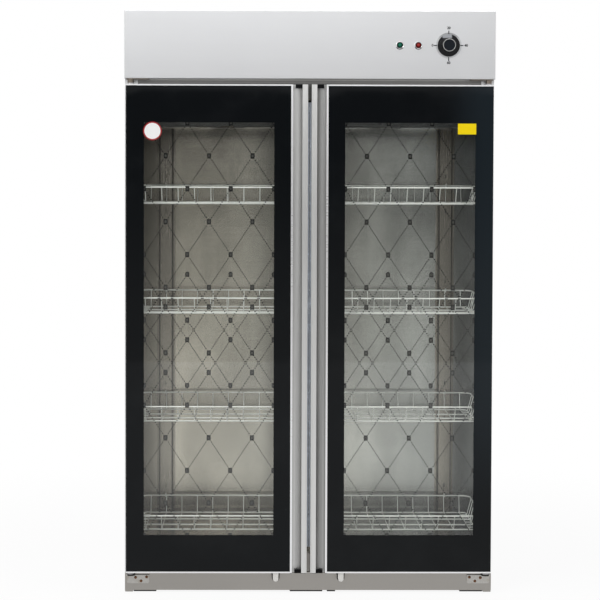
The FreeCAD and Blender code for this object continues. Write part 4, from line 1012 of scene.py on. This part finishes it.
def lamp_bezels():
    """Chromed rims round the lenses, with painted shade, a near-black chrome, on the slopes that
    face the ground.
    """
    low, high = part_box("lamp_bezels")
    outer = (high.z - low.z) / 2
    rings = [(outer, 0, 0), (outer - 0.0004, -0.0014, 0), (outer - 0.0012, -0.0028, 0),
             (BEZEL_CREST + 0.0006, -0.0037, 0), (BEZEL_CREST - 0.0006, -0.0037, 0),
             (LENS_R + 0.0010, -0.0026, LENS_RISE * 0.8),
             (LENS_R + 0.0001, -0.0012, LENS_RISE), (LENS_R + 0.0001, 0, LENS_RISE)]
    sides = 48
    bm = bmesh.new()
    for colour, lens_material in (("green", GREEN_LENS), ("red", RED_LENS)):
        place = indicator(colour, lens_material)
        loops = []
        for radius, forward, rise in rings:
            matrix = standing(place + Vector((0, FRONT + forward, rise)), (0, -1, 0))
            made = bmesh.ops.create_circle(bm, segments=sides, radius=radius, matrix=matrix)
            loops.append(made["verts"])
        for index, (below, above) in enumerate(zip(loops, [*loops[1:], loops[0]])):
            for face in bridged(bm, below, above):
                height = (face.calc_center_median().z - place.z) / outer
                inside = 4 <= index < 7
                dark = height > INNER_DARK if inside else height < OUTER_DARK
                face.material_index = 1 if dark else 0
    piece("indicator_bezels", bm, "cabinet",
          [BEZEL_CHROME, BEZEL_SHADE], ["lamp_bezels"], sharp=50)


timer_knob()
dial_ring()
dial_marks()
lamp_bezels()


# ---- screws and labels ----
HINGE_SCREWS = ((0.565, 0.048), (0.547, 0.0365), (0.529, 0.0495))
HINGE_PLATE_T = 0.003
SCREW_R = 0.0047
SCREW_H = 0.0025


def pan_screw(bm, place):
    """A domed screw head with a cross recess that faces the front."""
    turn = standing(place, (0, -1, 0))
    sides = 24
    rings = [(1.0, 0.0, False), (1.0, 0.35, False), (0.86, 0.78, False), (0.62, 1.0, False),
             (0.52, 1.0, True), (0.40, 0.45, True)]
    loops = []
    for share, rise, lobed in rings:
        made = bmesh.ops.create_circle(bm, segments=sides, radius=SCREW_R * share, matrix=turn)
        for index, vert in enumerate(made["verts"]):
            lobe = 0.35 + 0.65 * abs(math.cos(2 * math.tau * index / sides)) ** 3 if lobed else 1.0
            local = turn.inverted() @ vert.co
            vert.co = turn @ Vector((local.x * lobe, local.y * lobe, SCREW_H * rise))
        loops.append(made["verts"])
    for below, above in zip(loops, loops[1:]):
        bridged(bm, below, above)
    bm.faces.new(loops[-1])
    bm.faces.new(list(reversed(loops[0])))


def hinge_screws():
    """Screw heads on the lower hinge plates."""
    bm = bmesh.new()
    for sign in (LEFT, RIGHT):
        for x, z in HINGE_SCREWS:
            pan_screw(bm, Vector((sign * x, PLINTH_FRONT - HINGE_PLATE_T, z)))
    piece("hinge_screw_heads", bm, "cabinet", [SCREW_BROWN],
          ["hinge_screws"], sharp=40)


ROUND_LABEL = Vector((-0.5092, GLASS_LOW.y, 1.5065))
ROUND_LABEL_R = 0.0303
YELLOW_LOW = Vector((0.4795, GLASS_LOW.y, 1.4981))
YELLOW_HIGH = Vector((0.5390, GLASS_LOW.y, 1.5331))
RED_T = 0.00012           # thicknesses of the stickers
WHITE_T = 0.00020
YELLOW_T = 0.00014
WHITE_SHARE = 0.86        # the white disc's share of the red one's radius


def door_labels():
    """Two blank stickers on the panes: a white disc with a red rim and a yellow oblong."""
    bm = bmesh.new()
    disc(bm, ROUND_LABEL, ROUND_LABEL_R, RED_T, (0, -1, 0), 48, 1)
    disc(bm, ROUND_LABEL, ROUND_LABEL_R * WHITE_SHARE, WHITE_T, (0, -1, 0), 48, 0)
    piece("round_label", bm, "left_door", [LABEL_WHITE, LABEL_RED])
    bm = bmesh.new()
    slab(bm, YELLOW_LOW - Vector((0, YELLOW_T, 0)), YELLOW_HIGH, 0.00004, 1)
    piece("oblong_label", bm, "right_door", [LABEL_YELLOW])


hinge_screws()
door_labels()


# ---- studio ----
CAMERA_AT = Vector((-0.180, -7.275, 1.340))
CAMERA_TURN = math.radians(0.641)
CAMERA_TILT = math.radians(-2.29)
CAMERA_ROLL = math.radians(0.16)
IMAGE_PX = 600
FOCAL_PX = 2160.4
CENTRE_PX = (278.06, 269.18)


def add_camera():
    """Camera, with its picture shifted to the measured middle."""
    data = bpy.data.cameras.new("camera")
    data.sensor_width = 36.0
    data.lens = FOCAL_PX / IMAGE_PX * data.sensor_width
    data.shift_x = (IMAGE_PX / 2 - CENTRE_PX[0]) / IMAGE_PX
    data.shift_y = (CENTRE_PX[1] - IMAGE_PX / 2) / IMAGE_PX
    data.clip_end = 60.0
    turns = (("Z", -CAMERA_TURN), ("X", math.pi / 2 + CAMERA_TILT), ("Z", CAMERA_ROLL))
    heading, pitch, roll = (Matrix.Rotation(angle, 4, axis) for axis, angle in turns)
    camera = linked("camera", data)
    camera.matrix_world = Matrix.Translation(CAMERA_AT) @ heading @ pitch @ roll
    bpy.context.scene.camera = camera


def add_lamp(name, place, target, size, power):
    """Oblong area lamp that looks at its target."""
    data = bpy.data.lights.new(name, "AREA")
    data.shape = "RECTANGLE"
    data.size, data.size_y = size
    data.energy = power
    aim = (Vector(target) - Vector(place)).to_track_quat("-Z", "Y")
    linked(name, data).matrix_world = Matrix.Translation(place) @ aim.to_matrix().to_4x4()


WORLD_LIGHT = 0.55        # strength of the surroundings for what they light


def add_world():
    """White surroundings, at a calmer level for what they light."""
    world = bpy.data.worlds.new("studio")
    bpy.context.scene.world = world
    world.use_nodes = True
    graph = Graph(world.node_tree)
    background = graph.tree.nodes["Background"].inputs
    graph.plug(background["Strength"], WORLD_LIGHT + graph.shown() * (1 - WORLD_LIGHT))
    graph.plug(background["Color"], (1, 1, 1))


FLOOR_GLOW = 0.90         # share of plain white in the floor; the rest takes the shadow
FLOOR_HALF = 14


def add_floor():
    """Pale floor that shows white to the camera and keeps a soft shadow."""
    finish = Finish("studio_floor", base_color=(0.95, 0.95, 0.95), roughness=0.8,
                    specular_ior_level=0.1)
    glow = finish.node("ShaderNodeEmission", inputs={"Color": (1, 1, 1), "Strength": 1.0})
    distance = finish.node("ShaderNodeVectorMath", {"operation": "LENGTH"}, {0: finish.place()},
                           "Value")
    share = FLOOR_GLOW + finish.ramp(distance, 1.0, 3.2) * (1 - FLOOR_GLOW)
    finish.surface(finish.node("ShaderNodeMixShader", inputs={
        0: finish.shown() * share, 1: Value(finish, finish.shader.outputs[0]), 2: glow}))
    bm = bmesh.new()
    bmesh.ops.create_grid(bm, x_segments=1, y_segments=1, size=FLOOR_HALF)
    floor = linked("studio_floor", baked(bm, "floor", finish.material))


CARD_Y = -9.2
CARD_HALF_W = 3.4
CARD_LOW = 0.02
CARD_HIGH = 2.02
CARD_T = 0.05
CARD_DARK = 1.7           # height from which the card is dark


def add_dark_card():
    """Graded card behind the camera, seen only in steel and glass."""
    finish = Finish("studio_card", base_color=(0, 0, 0), specular_ior_level=0.0,
                    emission_strength=1.0)
    rise = finish.ramp(finish.along("Z"), CARD_LOW, CARD_DARK)
    finish.set(emission_color=finish.mix((0.62, 0.61, 0.59), (0.05, 0.05, 0.055), rise))
    bm = bmesh.new()
    slab(bm, Vector((-CARD_HALF_W, CARD_Y, CARD_LOW)),
         Vector((CARD_HALF_W, CARD_Y + CARD_T, CARD_HIGH)))
    card = linked("studio_card", baked(bm, "card", finish.material))
    card.visible_camera = False
    card.visible_diffuse = False
    card.visible_shadow = False
    card.visible_transmission = False


add_camera()
add_world()
add_floor()
add_dark_card()
add_lamp("key", (-2.6, -4.2, 3.6), (0, 0, 1.0), (2.4, 1.6), 87)
add_lamp("fill", (2.8, -4.6, 2.4), (0, 0, 0.9), (2.0, 2.0), 5)
add_lamp("front", (0.12, -5.2, 2.65), (0, 0, 1.7), (0.9, 0.6), 7)
add_lamp("top", (0, -0.6, 4.4), (0, 0, 1.0), (3.0, 2.0), 46)
bpy.context.scene.view_settings.view_transform = "Standard"
